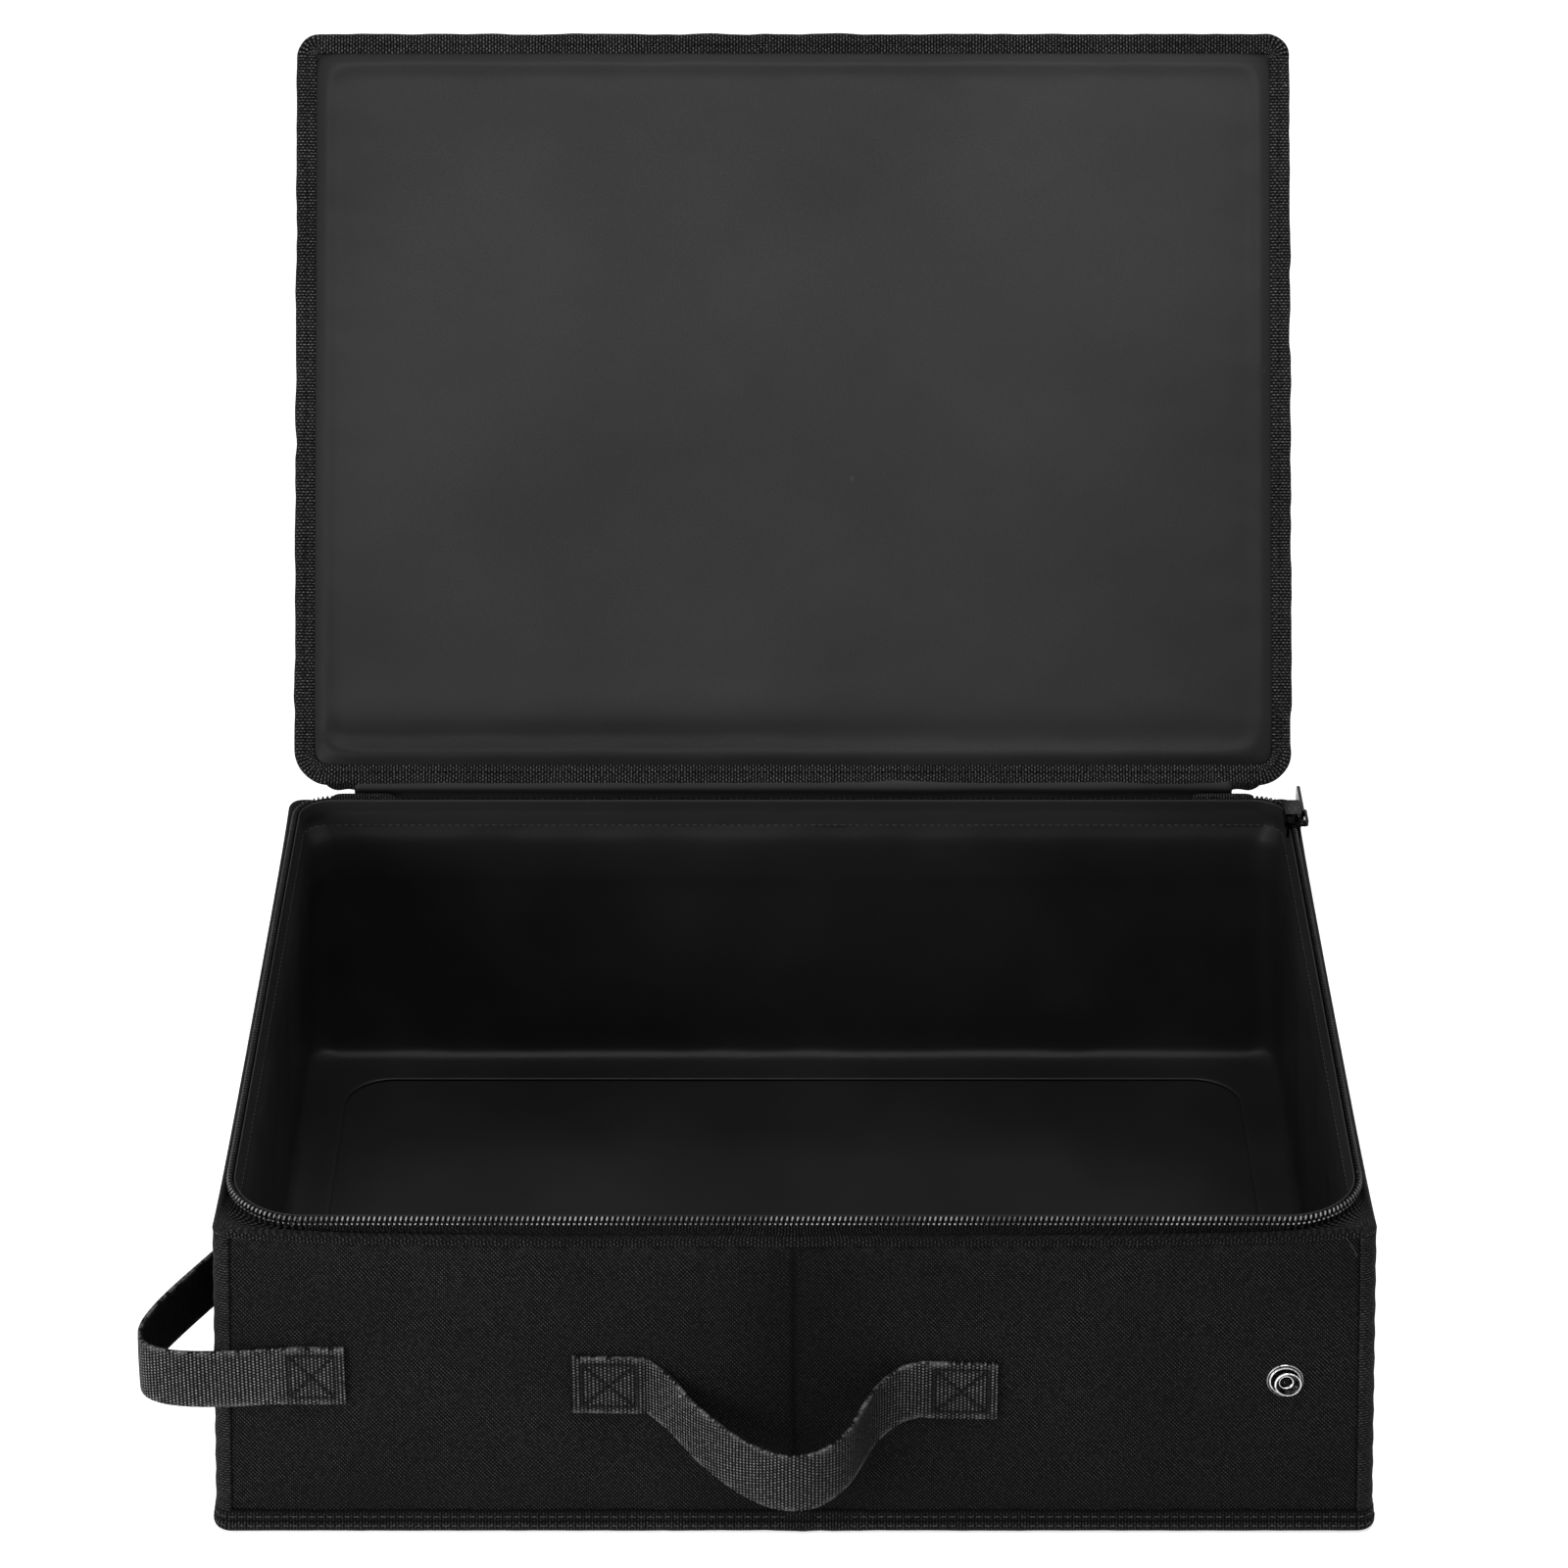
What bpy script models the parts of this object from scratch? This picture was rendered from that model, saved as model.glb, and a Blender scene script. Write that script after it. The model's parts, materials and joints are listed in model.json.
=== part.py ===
"""Foldable litter box: board-stiffened fabric walls, a waterproof liner and a zipped lid.

Metres, +Z up, the front faces -Y, and the origin is the middle of the base on the ground.
The lid is modelled closed over the box, then turned open about its fabric hinge.
"""

import math

import bmesh
import bpy
from mathutils import Vector

# Outer shell of the box. The walls lean in, so the rim is a little smaller than the base.
BASE_WIDTH = 0.416
BASE_DEPTH = 0.318
SIDE_LEAN = 0.005
FRONT_LEAN = 0.005
WALL_TOP = 0.121
CORNER_RADIUS = 0.005
CORNER_LEG = 0.0062
CLEARANCE = 0.0003

# Layers of the walls and the base, from outside to inside.
FABRIC = 0.0008
WALL_BOARD = 0.0022
LINER_SHEET = 0.0006
BASE_FABRIC = 0.0010
BASE_BOARD = 0.0030
BOARD_END = 0.0070
LINER_RADIUS = 0.009
BASE_BINDING_HEIGHT = 0.0100
BASE_BINDING_LIFT = 0.0005
SEAM_GAP = 0.0006

# Hem round the top of the walls and the zip that stands on it.
HEM_THICKNESS = 0.0010
HEM_WIDTH = 0.0056
BACK_RIM_RADIUS = 0.012
ZIP_RADIUS = 0.028
ZIP_BACK_RADIUS = 0.014
ZIP_INSET = 0.0030
TAPE_THICKNESS = 0.0008
TAPE_HEIGHT = 0.0045
CHAIN_WIDTH = 0.0026
CHAIN_HEIGHT = 0.0034
CHAIN_GAP = 0.0026
TAB_LENGTH = 0.024
TAB_THICKNESS = 0.0024
TAB_HEIGHT = 0.0080

# Lid: lining, board and cover inside a folded binding, with its zip tape lying flat round it.
LID_BOARD = 0.0025
LINING = 0.0008
LID_COVER = 0.0008
BINDING_TAPE = 0.0008
BINDING_LEG = 0.0035
LID_TAPE_WIDTH = 0.0035
LID_ZIP_RADIUS = 0.0075
LID_BACK_RADIUS = 0.012
LEAST_RADIUS = 0.0005
HINGE_FABRIC = 0.0008
HINGE_CLEAR = 0.0003
HINGE_DROP = 0.0020
HINGE_END = 0.0085
LID_OPEN_ANGLE = math.radians(121.0)

# Zip slider and its pull.
SLIDER_LENGTH = 0.0115
SLIDER_WALL = 0.0012
SLIDER_CLEAR = 0.0003
SLIDER_FLANGE = 0.0008
SLIDER_SLOT = 0.0004
BRIDGE_LENGTH = 0.0046
CROWN_RISE = 0.0022
CROWN_THICKNESS = 0.0009
CROWN_WIDTH = 0.0024
CROWN_FOOT = 0.0014
PULL_LENGTH = 0.022
PULL_WIDTH = 0.0070
PULL_THICKNESS = 0.0012
PULL_EYE = 0.0056
PULL_BAR = 0.0012
PULL_TIP_RADIUS = 0.0025

# Webbing handles, sewn on at half the wall's height.
WEBBING_WIDTH = 0.0230
WEBBING = 0.0014
SEWN_END = 0.0026
HANDLE_HEIGHT = 0.0640
HANDLE_SLANT = 0.0028
HANDLE_LEFT = -0.0789
HANDLE_RIGHT = 0.0722
HANDLE_PATCH = 0.0260
HANDLE_BULGE = 0.034
HANDLE_DROP = 0.0190
HANDLE_BULGE_POWER = 1.4
HANDLE_LEFT_POWER = 1.0
HANDLE_RIGHT_POWER = 1.8
STRAP_HEIGHT = 0.0675
STRAP_PATCH = 0.0235
STRAP_FRONT_SET = 0.0222
STRAP_SIDE_SET = 0.0682
STRAP_SIDE_PATCH = 0.0240
STRAP_FRONT_PULL = 0.0750
STRAP_SIDE_PULL = 0.0280
STRAP_SIDE_BOW = 0.0520

# Snap fastener near the front wall's right end.
SNAP_SET = 0.0311
SNAP_HEIGHT = 0.0645
SNAP_FLANGE_RADIUS = 0.0067
SNAP_FLANGE = 0.0009
SNAP_RING_RADIUS = 0.0047
SNAP_RING_RISE = 0.0034
SNAP_MOUTH_RADIUS = 0.0025
SNAP_MOUTH_FLOOR = 0.0014
SNAP_WAIST = 0.0006
SNAP_SHANK_RADIUS = 0.0014
SNAP_WASHER_RADIUS = 0.0050
SNAP_WASHER = 0.0010

# Facets and cutters.
CORNER_STEPS = 5
ZIP_STEPS = 9
LOOP_STEPS = 22
ROUND_STEPS = 28
CUT_OVERRUN = 0.002
SHARP_ANGLE = math.radians(32.0)

# Heights, widths and insets that follow from the sizes above.
RIM_WIDTH = BASE_WIDTH - 2 * SIDE_LEAN
RIM_DEPTH = BASE_DEPTH - 2 * FRONT_LEAN
WALL_FOOT = BASE_FABRIC + CLEARANCE
BOARD_INSET = FABRIC + CLEARANCE
LINER_INSET = BOARD_INSET + WALL_BOARD + CLEARANCE
BOARD_TOP = WALL_FOOT + BASE_BOARD
HEM_LOW = WALL_TOP + CLEARANCE
HEM_TOP = HEM_LOW + HEM_THICKNESS
TAPE_LOW = HEM_TOP + CLEARANCE
CHAIN_LOW = TAPE_LOW + TAPE_HEIGHT + CLEARANCE
CHAIN_TOP = CHAIN_LOW + CHAIN_HEIGHT
ZIP_MIDDLE = CHAIN_TOP + CHAIN_GAP / 2
LID_TAPE_Z = ZIP_MIDDLE + CHAIN_GAP / 2 + CHAIN_WIDTH / 2
LID_CHAIN_ROOT = LID_TAPE_WIDTH + CLEARANCE
LID_ZIP_ROOT = CHAIN_WIDTH / 2 - LID_CHAIN_ROOT - CHAIN_HEIGHT
LID_BORDER = CLEARANCE - LID_ZIP_ROOT
LID_LOW = LID_TAPE_Z - CHAIN_WIDTH / 2
LINING_LOW = LID_LOW + BINDING_TAPE + CLEARANCE
LID_BOARD_LOW = LINING_LOW + LINING + CLEARANCE
COVER_LOW = LID_BOARD_LOW + LID_BOARD + CLEARANCE
LID_TOP = COVER_LOW + LID_COVER + CLEARANCE + BINDING_TAPE
HINGE_Y = RIM_DEPTH / 2 + CLEARANCE
HINGE_Z = LID_TAPE_Z - HINGE_DROP
ZIP_SIDE_X = RIM_WIDTH / 2 - ZIP_INSET
ZIP_BACK_Y = RIM_DEPTH / 2 - ZIP_INSET
ZIP_END_X = ZIP_SIDE_X - ZIP_BACK_RADIUS
ZIP_STRAIGHT_Y = ZIP_BACK_Y - ZIP_BACK_RADIUS
LID_BACK_Y = ZIP_BACK_Y - LID_BORDER
HINGE_POINT = Vector((0.0, HINGE_Y, HINGE_Z))

# Each wall's outward direction.
SIDES = {"front": (0, -1), "back": (0, 1), "left": (-1, 0), "right": (1, 0)}


def clear_scene():
    """Removes every object that the scene starts with."""
    for item in list(bpy.data.objects):
        bpy.data.objects.remove(item, do_unlink=True)


def make_material(name, colour, roughness, metallic=0.0):
    """A plain finish: base colour, roughness and metallic value."""
    finish = bpy.data.materials.new(name)
    finish.use_nodes = True
    shader = finish.node_tree.nodes["Principled BSDF"]
    shader.inputs["Base Color"].default_value = (*colour, 1.0)
    shader.inputs["Roughness"].default_value = roughness
    shader.inputs["Metallic"].default_value = metallic
    return finish


def add_object(name, bm, finish, origin=Vector((0.0, 0.0, 0.0)), parent=None):
    """Turns a bmesh into an object whose origin is the given point."""
    bmesh.ops.recalc_face_normals(bm, faces=bm.faces)
    bmesh.ops.translate(bm, verts=bm.verts, vec=-origin)
    mesh = bpy.data.meshes.new(name)
    bm.to_mesh(mesh)
    bm.free()
    mesh.shade_smooth()
    mesh.set_sharp_from_angle(angle=SHARP_ANGLE)
    mesh.materials.append(finish)
    item = bpy.data.objects.new(name, mesh)
    bpy.context.scene.collection.objects.link(item)
    if parent is None:
        item.location = origin
    else:
        item.parent = parent
    return item


def sweep(bm, sections, closed=False):
    """Joins a row of equal cross-sections with quads and caps an open row's ends."""
    rings = [[bm.verts.new(point) for point in section] for section in sections]
    spans = list(zip(rings, rings[1:]))
    if closed:
        spans.append((rings[-1], rings[0]))
    for near, far in spans:
        for index, corner in enumerate(near):
            after = (index + 1) % len(near)
            bm.faces.new((corner, near[after], far[after], far[index]))
    if not closed:
        bm.faces.new(rings[0])
        bm.faces.new(rings[-1])


def swept_object(name, sections, finish, closed=False, **place):
    """A single body swept through the cross-sections."""
    bm = bmesh.new()
    sweep(bm, sections, closed)
    return add_object(name, bm, finish, **place)


def shell_half(z):
    """Half the shell's width and depth at a height, where the walls lean in evenly."""
    share = z / WALL_TOP
    half_x = (BASE_WIDTH + (RIM_WIDTH - BASE_WIDTH) * share) / 2
    half_y = (BASE_DEPTH + (RIM_DEPTH - BASE_DEPTH) * share) / 2
    return half_x, half_y


def rounded_loop(low, high, front_radius, back_radius, z):
    """A rectangle from low to high in X and Y, with one radius at the front and one at the back."""
    corners = (
        (high[0], low[1], 1, -1, front_radius, -90),
        (high[0], high[1], 1, 1, back_radius, 0),
        (low[0], high[1], -1, 1, back_radius, 90),
        (low[0], low[1], -1, -1, front_radius, 180),
    )
    points = []
    for x, y, sign_x, sign_y, radius, start in corners:
        for step in range(CORNER_STEPS + 1):
            angle = math.radians(start + 90 * step / CORNER_STEPS)
            points.append(
                Vector(
                    (
                        x - sign_x * radius + radius * math.cos(angle),
                        y - sign_y * radius + radius * math.sin(angle),
                        z,
                    )
                )
            )
    return points


def shell_loop(z, inset, radius):
    """The shell's outline at a height, moved in by the inset."""
    half_x, half_y = shell_half(z)
    return rounded_loop(
        (inset - half_x, inset - half_y), (half_x - inset, half_y - inset), radius, radius, z
    )


def wall_point(side, anchor, distance, z, inset):
    """A point of a wall: from its left or right end, or from its middle where anchor is 0."""
    normal_x, normal_y = SIDES[side]
    half_x, half_y = shell_half(z)
    half_along, half_across = (half_x, half_y) if normal_y else (half_y, half_x)
    along = anchor * (half_along - distance) if anchor else distance
    across = half_across - inset
    return Vector(
        (
            normal_x * across + abs(normal_y) * along,
            normal_y * across + abs(normal_x) * along,
            z,
        )
    )


def wall_slab(name, side, start, end, low, outer, inner, finish):
    """A flat layer of a wall, between two insets, from a low edge to the wall's top."""
    frame = ((low, outer), (WALL_TOP, outer), (WALL_TOP, inner), (low, inner))
    sections = [
        [wall_point(side, *place, z, inset) for z, inset in frame] for place in (start, end)
    ]
    return swept_object(name, sections, finish)


def corner_strip(name, sign_x, sign_y, finish):
    """The binding that wraps one upright corner of the outer fabric."""

    def outline(z, inset):
        half_x, half_y = shell_half(z)
        reach = CORNER_RADIUS - inset
        points = [(half_x - inset, half_y - CORNER_LEG)]
        for step in range(CORNER_STEPS + 1):
            angle = math.pi / 2 * step / CORNER_STEPS
            points.append(
                (
                    half_x - CORNER_RADIUS + reach * math.cos(angle),
                    half_y - CORNER_RADIUS + reach * math.sin(angle),
                )
            )
        points.append((half_x - CORNER_LEG, half_y - inset))
        return [Vector((sign_x * x, sign_y * y, z)) for x, y in points]

    rows = (
        outline(WALL_FOOT, 0.0),
        outline(WALL_TOP, 0.0),
        outline(WALL_TOP, FABRIC),
        outline(WALL_FOOT, FABRIC),
    )
    return swept_object(name, list(zip(*rows)), finish)


def build_shell(fabric, trim, board):
    """Outer fabric, its seams and bindings, and the boards behind it."""
    seam = CORNER_LEG + CLEARANCE
    ends = {
        "left": ((-1, seam), (0, -SEAM_GAP / 2)),
        "right": ((0, SEAM_GAP / 2), (1, seam)),
    }
    for side in ("front", "back"):
        for half, (start, end) in ends.items():
            wall_slab(f"{side}_panel_{half}", side, start, end, WALL_FOOT, 0.0, FABRIC, fabric)
            board_start = (-1, BOARD_END) if half == "left" else start
            board_end = (1, BOARD_END) if half == "right" else end
            wall_slab(
                f"{side}_board_{half}", side, board_start, board_end,
                WALL_FOOT, BOARD_INSET, BOARD_INSET + WALL_BOARD, board,
            )
    for side in ("left", "right"):
        wall_slab(
            f"{side}_side_panel", side, (-1, seam), (1, seam), WALL_FOOT, 0.0, FABRIC, fabric
        )
        wall_slab(
            f"{side}_side_board", side, (-1, BOARD_END), (1, BOARD_END),
            WALL_FOOT, BOARD_INSET, BOARD_INSET + WALL_BOARD, board,
        )
    for front, sign_y in (("front", -1), ("back", 1)):
        for hand, sign_x in (("left", -1), ("right", 1)):
            corner_strip(f"corner_binding_{front}_{hand}", sign_x, sign_y, trim)
    swept_object(
        "bottom_panel",
        [shell_loop(0.0, 0.0, CORNER_RADIUS), shell_loop(BASE_FABRIC, 0.0, CORNER_RADIUS)],
        fabric,
    )
    swept_object(
        "bottom_board",
        [shell_loop(z, LINER_INSET, LINER_RADIUS) for z in (WALL_FOOT, BOARD_TOP)],
        board,
    )
    high = BASE_BINDING_LIFT + BASE_BINDING_HEIGHT
    outer = -CLEARANCE - FABRIC
    rows = [
        shell_loop(z, inset, CORNER_RADIUS - inset)
        for z, inset in (
            (BASE_BINDING_LIFT, outer),
            (high, outer),
            (high, -CLEARANCE),
            (BASE_BINDING_LIFT, -CLEARANCE),
        )
    ]
    swept_object("base_binding", list(zip(*rows)), trim, closed=True)


def build_liner(coated):
    """The waterproof liner: one tub from the floor to the top of the walls."""
    low = BOARD_TOP + CLEARANCE
    inner = LINER_INSET + LINER_SHEET
    sections = [
        shell_loop(low, LINER_INSET, LINER_RADIUS),
        shell_loop(WALL_TOP, LINER_INSET, LINER_RADIUS),
        shell_loop(WALL_TOP, inner, LINER_RADIUS - LINER_SHEET),
        shell_loop(low + LINER_SHEET, inner, LINER_RADIUS - LINER_SHEET),
    ]
    return swept_object("waterproof_liner", sections, coated)


def build_hem(trim):
    """The flat hem on top of the walls, which runs in to the zip's rounder corners."""
    half_x, half_y = RIM_WIDTH / 2, RIM_DEPTH / 2
    inner_x, inner_y = half_x - HEM_WIDTH, half_y - HEM_WIDTH
    inner_front = ZIP_RADIUS - (HEM_WIDTH - ZIP_INSET)

    def outer_loop(z):
        return rounded_loop(
            (-half_x, -half_y), (half_x, half_y), CORNER_RADIUS, CORNER_RADIUS, z
        )

    def inner_loop(z):
        return rounded_loop(
            (-inner_x, -inner_y), (inner_x, inner_y), inner_front, BACK_RIM_RADIUS, z
        )

    rows = (outer_loop(HEM_LOW), outer_loop(HEM_TOP), inner_loop(HEM_TOP), inner_loop(HEM_LOW))
    return swept_object("rim_hem", list(zip(*rows)), trim, closed=True)


def zip_line(offset, z, front_radius, back_radius):
    """The zip's line round all four corners, moved outwards by an offset, open along the back."""
    corners = (
        (1, 1, back_radius, 90),
        (1, -1, front_radius, 0),
        (-1, -1, front_radius, -90),
        (-1, 1, back_radius, -180),
    )
    points = []
    for sign_x, sign_y, corner_radius, start in corners:
        radius = corner_radius + offset
        centre_x = sign_x * (ZIP_SIDE_X - corner_radius)
        centre_y = sign_y * (ZIP_BACK_Y - corner_radius)
        for step in range(ZIP_STEPS + 1):
            angle = math.radians(start - 90 * step / ZIP_STEPS)
            points.append(
                Vector(
                    (
                        centre_x + radius * math.cos(angle),
                        centre_y + radius * math.sin(angle),
                        z,
                    )
                )
            )
    return points


def build_zip_half(side, tape_width, place_point, radii, tape, chain, **place):
    """One half of the zip, a tape with its chain along the edge, put in place by a function."""
    half_tape = TAPE_THICKNESS / 2
    half_chain = CHAIN_WIDTH / 2
    root = tape_width + CLEARANCE
    tape_frame = (
        (half_tape, 0.0),
        (half_tape, tape_width),
        (-half_tape, tape_width),
        (-half_tape, 0.0),
    )
    chain_frame = (
        (half_tape, root),
        (half_chain, root + CHAIN_HEIGHT / 2),
        (half_tape, root + CHAIN_HEIGHT),
        (-half_tape, root + CHAIN_HEIGHT),
        (-half_chain, root + CHAIN_HEIGHT / 2),
        (-half_tape, root),
    )
    for name, frame, finish in (
        (f"zip_tape_{side}", tape_frame, tape),
        (f"zip_chain_{side}", chain_frame, chain),
    ):
        rows = [zip_line(*place_point(across, out), *radii) for across, out in frame]
        swept_object(name, list(zip(*rows)), finish, **place)


def build_zip(tape, chain, pivot):
    """The box's half stands on edge on the hem, and the lid's half lies flat round the lid."""
    build_zip_half(
        "box", TAPE_HEIGHT, lambda across, out: (across, TAPE_LOW + out),
        (ZIP_RADIUS, ZIP_BACK_RADIUS), tape, chain,
    )
    build_zip_half(
        "lid", LID_TAPE_WIDTH, lambda across, out: (LID_ZIP_ROOT + out, LID_TAPE_Z + across),
        (LID_ZIP_RADIUS, LID_BACK_RADIUS), tape, chain, origin=HINGE_POINT, parent=pivot,
    )


def build_zip_tabs(trim):
    """The sewn tab that stops the zip at each end, inside the hinge."""
    low = HEM_TOP + CLEARANCE
    start = ZIP_END_X - CLEARANCE
    half = TAB_THICKNESS / 2
    for hand, sign in (("left", -1), ("right", 1)):
        sections = []
        for x in (start, start - TAB_LENGTH):
            sections.append(
                [
                    Vector((sign * x, ZIP_BACK_Y + across * half, z))
                    for across, z in (
                        (-1, low),
                        (1, low),
                        (1, low + TAB_HEIGHT),
                        (-1, low + TAB_HEIGHT),
                    )
                ]
            )
        swept_object(f"zip_end_tab_{hand}", sections, trim)


def lid_loop(z, inset):
    """The closed lid's outline at a height, inside its zip tape and moved in by the inset."""
    half_x = ZIP_SIDE_X - LID_BORDER - inset
    half_y = LID_BACK_Y - inset
    radii = [
        max(radius - LID_BORDER - inset, LEAST_RADIUS) for radius in (LID_ZIP_RADIUS, LID_BACK_RADIUS)
    ]
    return rounded_loop((-half_x, -half_y), (half_x, half_y), *radii, z)


def build_lid(fabric, trim, board, coated, pivot):
    """Lining, board and cover held in the binding."""
    place = {"origin": HINGE_POINT, "parent": pivot}
    edge = BINDING_TAPE + CLEARANCE
    for name, low, thickness, finish in (
        ("lid_lining", LINING_LOW, LINING, coated),
        ("lid_board", LID_BOARD_LOW, LID_BOARD, board),
        ("lid_cover", COVER_LOW, LID_COVER, fabric),
    ):
        sections = [lid_loop(z, edge) for z in (low, low + thickness)]
        swept_object(name, sections, finish, **place)
    frame = (
        (0.0, LID_LOW),
        (0.0, LID_TOP),
        (BINDING_LEG, LID_TOP),
        (BINDING_LEG, LID_TOP - BINDING_TAPE),
        (BINDING_TAPE, LID_TOP - BINDING_TAPE),
        (BINDING_TAPE, LID_LOW + BINDING_TAPE),
        (BINDING_LEG, LID_LOW + BINDING_TAPE),
        (BINDING_LEG, LID_LOW),
    )
    rows = [lid_loop(z, inset) for inset, z in frame]
    swept_object("lid_binding", list(zip(*rows)), trim, closed=True, **place)


def build_hinge(trim, pivot):
    """The fabric hinge: a strip up from the rim to the axis, and one from there to the lid."""
    half_x = ZIP_END_X - HINGE_END
    face = HINGE_Y - HINGE_CLEAR
    box_frame = (
        (face, TAPE_LOW),
        (face, HINGE_Z - HINGE_CLEAR),
        (face - HINGE_FABRIC, HINGE_Z - HINGE_CLEAR),
        (face - HINGE_FABRIC, TAPE_LOW),
    )
    edge = LID_BACK_Y + CLEARANCE
    high = LID_TAPE_Z + HINGE_FABRIC / 2
    low = LID_TAPE_Z - HINGE_FABRIC / 2
    lid_frame = (
        (face, HINGE_Z + HINGE_CLEAR),
        (face, high),
        (edge, high),
        (edge, low),
        (face - HINGE_FABRIC, low),
        (face - HINGE_FABRIC, HINGE_Z + HINGE_CLEAR),
    )
    for name, frame, place in (
        ("hinge_strip_box", box_frame, {}),
        ("hinge_strip_lid", lid_frame, {"origin": HINGE_POINT, "parent": pivot}),
    ):
        sections = [[Vector((x, y, z)) for y, z in frame] for x in (-half_x, half_x)]
        swept_object(name, sections, trim, **place)


def add_block(bm, low, high):
    """A rectangular block between two corners."""
    frame = ((low[0], low[2]), (high[0], low[2]), (high[0], high[2]), (low[0], high[2]))
    sweep(bm, [[Vector((x, y, z)) for x, z in frame] for y in (low[1], high[1])])


def add_operand(name, bm, target, operation, parent=None):
    """Joins to or cuts from the target with a hidden helper object."""
    bmesh.ops.recalc_face_normals(bm, faces=bm.faces)
    mesh = bpy.data.meshes.new(name)
    bm.to_mesh(mesh)
    bm.free()
    helper = bpy.data.objects.new(name, mesh)
    bpy.context.scene.collection.objects.link(helper)
    helper.parent = parent
    if parent is None:
        helper.location = target.location
    helper.hide_render = True
    helper.display_type = "WIRE"
    step = target.modifiers.new(name, "BOOLEAN")
    step.operation = operation
    step.solver = "EXACT"
    step.object = helper
    return helper


def build_slider(metal):
    """The zip slider: a channel for each chain, a bridge between them and a crown for the pull.

    The box's chain stands in the lower channel. The lid's lies in the upper one, whose slot
    faces inwards. Sizes are from the middle of the zip.
    """
    channel = CHAIN_WIDTH / 2 + SLIDER_CLEAR
    plate = channel + SLIDER_WALL
    inner = CHAIN_HEIGHT - CHAIN_WIDTH / 2 + SLIDER_CLEAR
    back = inner + SLIDER_WALL
    slot = TAPE_THICKNESS / 2 + SLIDER_SLOT
    bridge = CHAIN_GAP / 2 - SLIDER_CLEAR
    level = CHAIN_GAP / 2 + CHAIN_WIDTH / 2
    lip = CHAIN_GAP / 2 + CHAIN_HEIGHT + SLIDER_CLEAR
    foot = lip + SLIDER_FLANGE
    roof = CHAIN_GAP / 2 + CHAIN_WIDTH + SLIDER_CLEAR
    top = roof + SLIDER_FLANGE
    outline = (
        (slot, -foot), (plate, -foot), (plate, top), (-back, top), (-back, level + slot),
        (-inner, level + slot), (-inner, roof), (channel, roof), (channel, bridge),
        (-inner, bridge), (-inner, level - slot), (-back, level - slot), (-back, -bridge),
        (-plate, -bridge), (-plate, -foot), (-slot, -foot), (-slot, -lip), (-channel, -lip),
        (-channel, -bridge), (channel, -bridge), (channel, -lip), (slot, -lip),
    )
    half = SLIDER_LENGTH / 2
    centre = Vector((ZIP_SIDE_X, ZIP_STRAIGHT_Y - CLEARANCE - half, ZIP_MIDDLE))
    bm = bmesh.new()
    sweep(bm, [[Vector((x, y, z)) for x, z in outline] for y in (-half, half)])
    bmesh.ops.translate(bm, verts=bm.verts, vec=centre)
    slider = add_object("zip_slider", bm, metal, origin=centre)
    mouth = bmesh.new()
    add_block(
        mouth,
        (-channel, BRIDGE_LENGTH - half, -bridge - SLIDER_CLEAR),
        (channel, half + CUT_OVERRUN, bridge + SLIDER_CLEAR),
    )
    add_operand("slider_mouth_cut", mouth, slider, "DIFFERENCE")
    crown = bmesh.new()
    rise = plate + CROWN_RISE
    root = plate - SLIDER_WALL / 2
    arch = (
        (root, -half + CROWN_FOOT / 2), (rise, -half + CROWN_FOOT / 2),
        (rise + CROWN_THICKNESS, CROWN_FOOT - half),
        (rise + CROWN_THICKNESS, half - CROWN_FOOT),
        (rise, half - CROWN_FOOT / 2), (root, half - CROWN_FOOT / 2),
        (root, half - CROWN_FOOT / 2 - CROWN_FOOT), (rise, half - CROWN_FOOT / 2 - CROWN_FOOT),
        (rise, CROWN_FOOT / 2 + CROWN_FOOT - half), (root, CROWN_FOOT / 2 + CROWN_FOOT - half),
    )
    half_width = CROWN_WIDTH / 2
    sweep(crown, [[Vector((x, y, z)) for x, y in arch] for z in (-half_width, half_width)])
    add_operand("slider_crown_join", crown, slider, "UNION")
    return slider, centre, plate


def build_pull(metal, centre, plate):
    """The pull: a tab with an eye whose bar passes under the slider's crown."""
    pivot = centre + Vector((plate + CROWN_RISE / 2, 0.0, 0.0))
    half_width = PULL_WIDTH / 2
    half_thickness = PULL_THICKNESS / 2
    eye = CROWN_WIDTH / 2 + SLIDER_CLEAR + CLEARANCE
    start = -PULL_BAR / 2
    outline = [(start, half_width)]
    for step in range(CORNER_STEPS + 1):
        angle = math.pi / 2 * (1 - step / CORNER_STEPS)
        outline.append(
            (
                PULL_LENGTH - PULL_TIP_RADIUS + PULL_TIP_RADIUS * math.cos(angle),
                half_width - PULL_TIP_RADIUS + PULL_TIP_RADIUS * math.sin(angle),
            )
        )
    outline += [(y, -z) for y, z in reversed(outline)]
    bm = bmesh.new()
    sweep(
        bm, [[Vector((x, y, z)) + pivot for y, z in outline] for x in (-half_thickness, half_thickness)]
    )
    pull = add_object("zip_pull", bm, metal, origin=pivot)
    window = bmesh.new()
    add_block(
        window,
        (-CUT_OVERRUN, start + PULL_BAR, -eye),
        (CUT_OVERRUN, start + PULL_BAR + PULL_EYE, eye),
    )
    add_operand("pull_eye_cut", window, pull, "DIFFERENCE")
    return pull


def band(points, ups, thicknesses):
    """Cross-sections of a webbing band that follows the points, its width along each up."""
    sections = []
    last = len(points) - 1
    for index, point in enumerate(points):
        along = (points[min(index + 1, last)] - points[max(index - 1, 0)]).normalized()
        up = ups[index] - along * ups[index].dot(along)
        up.normalize()
        across = along.cross(up)
        half_width = up * WEBBING_WIDTH / 2
        half_thickness = across * thicknesses[index] / 2
        sections.append(
            [
                point + half_width + half_thickness,
                point + half_width - half_thickness,
                point - half_width - half_thickness,
                point - half_width + half_thickness,
            ]
        )
    return sections


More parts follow.
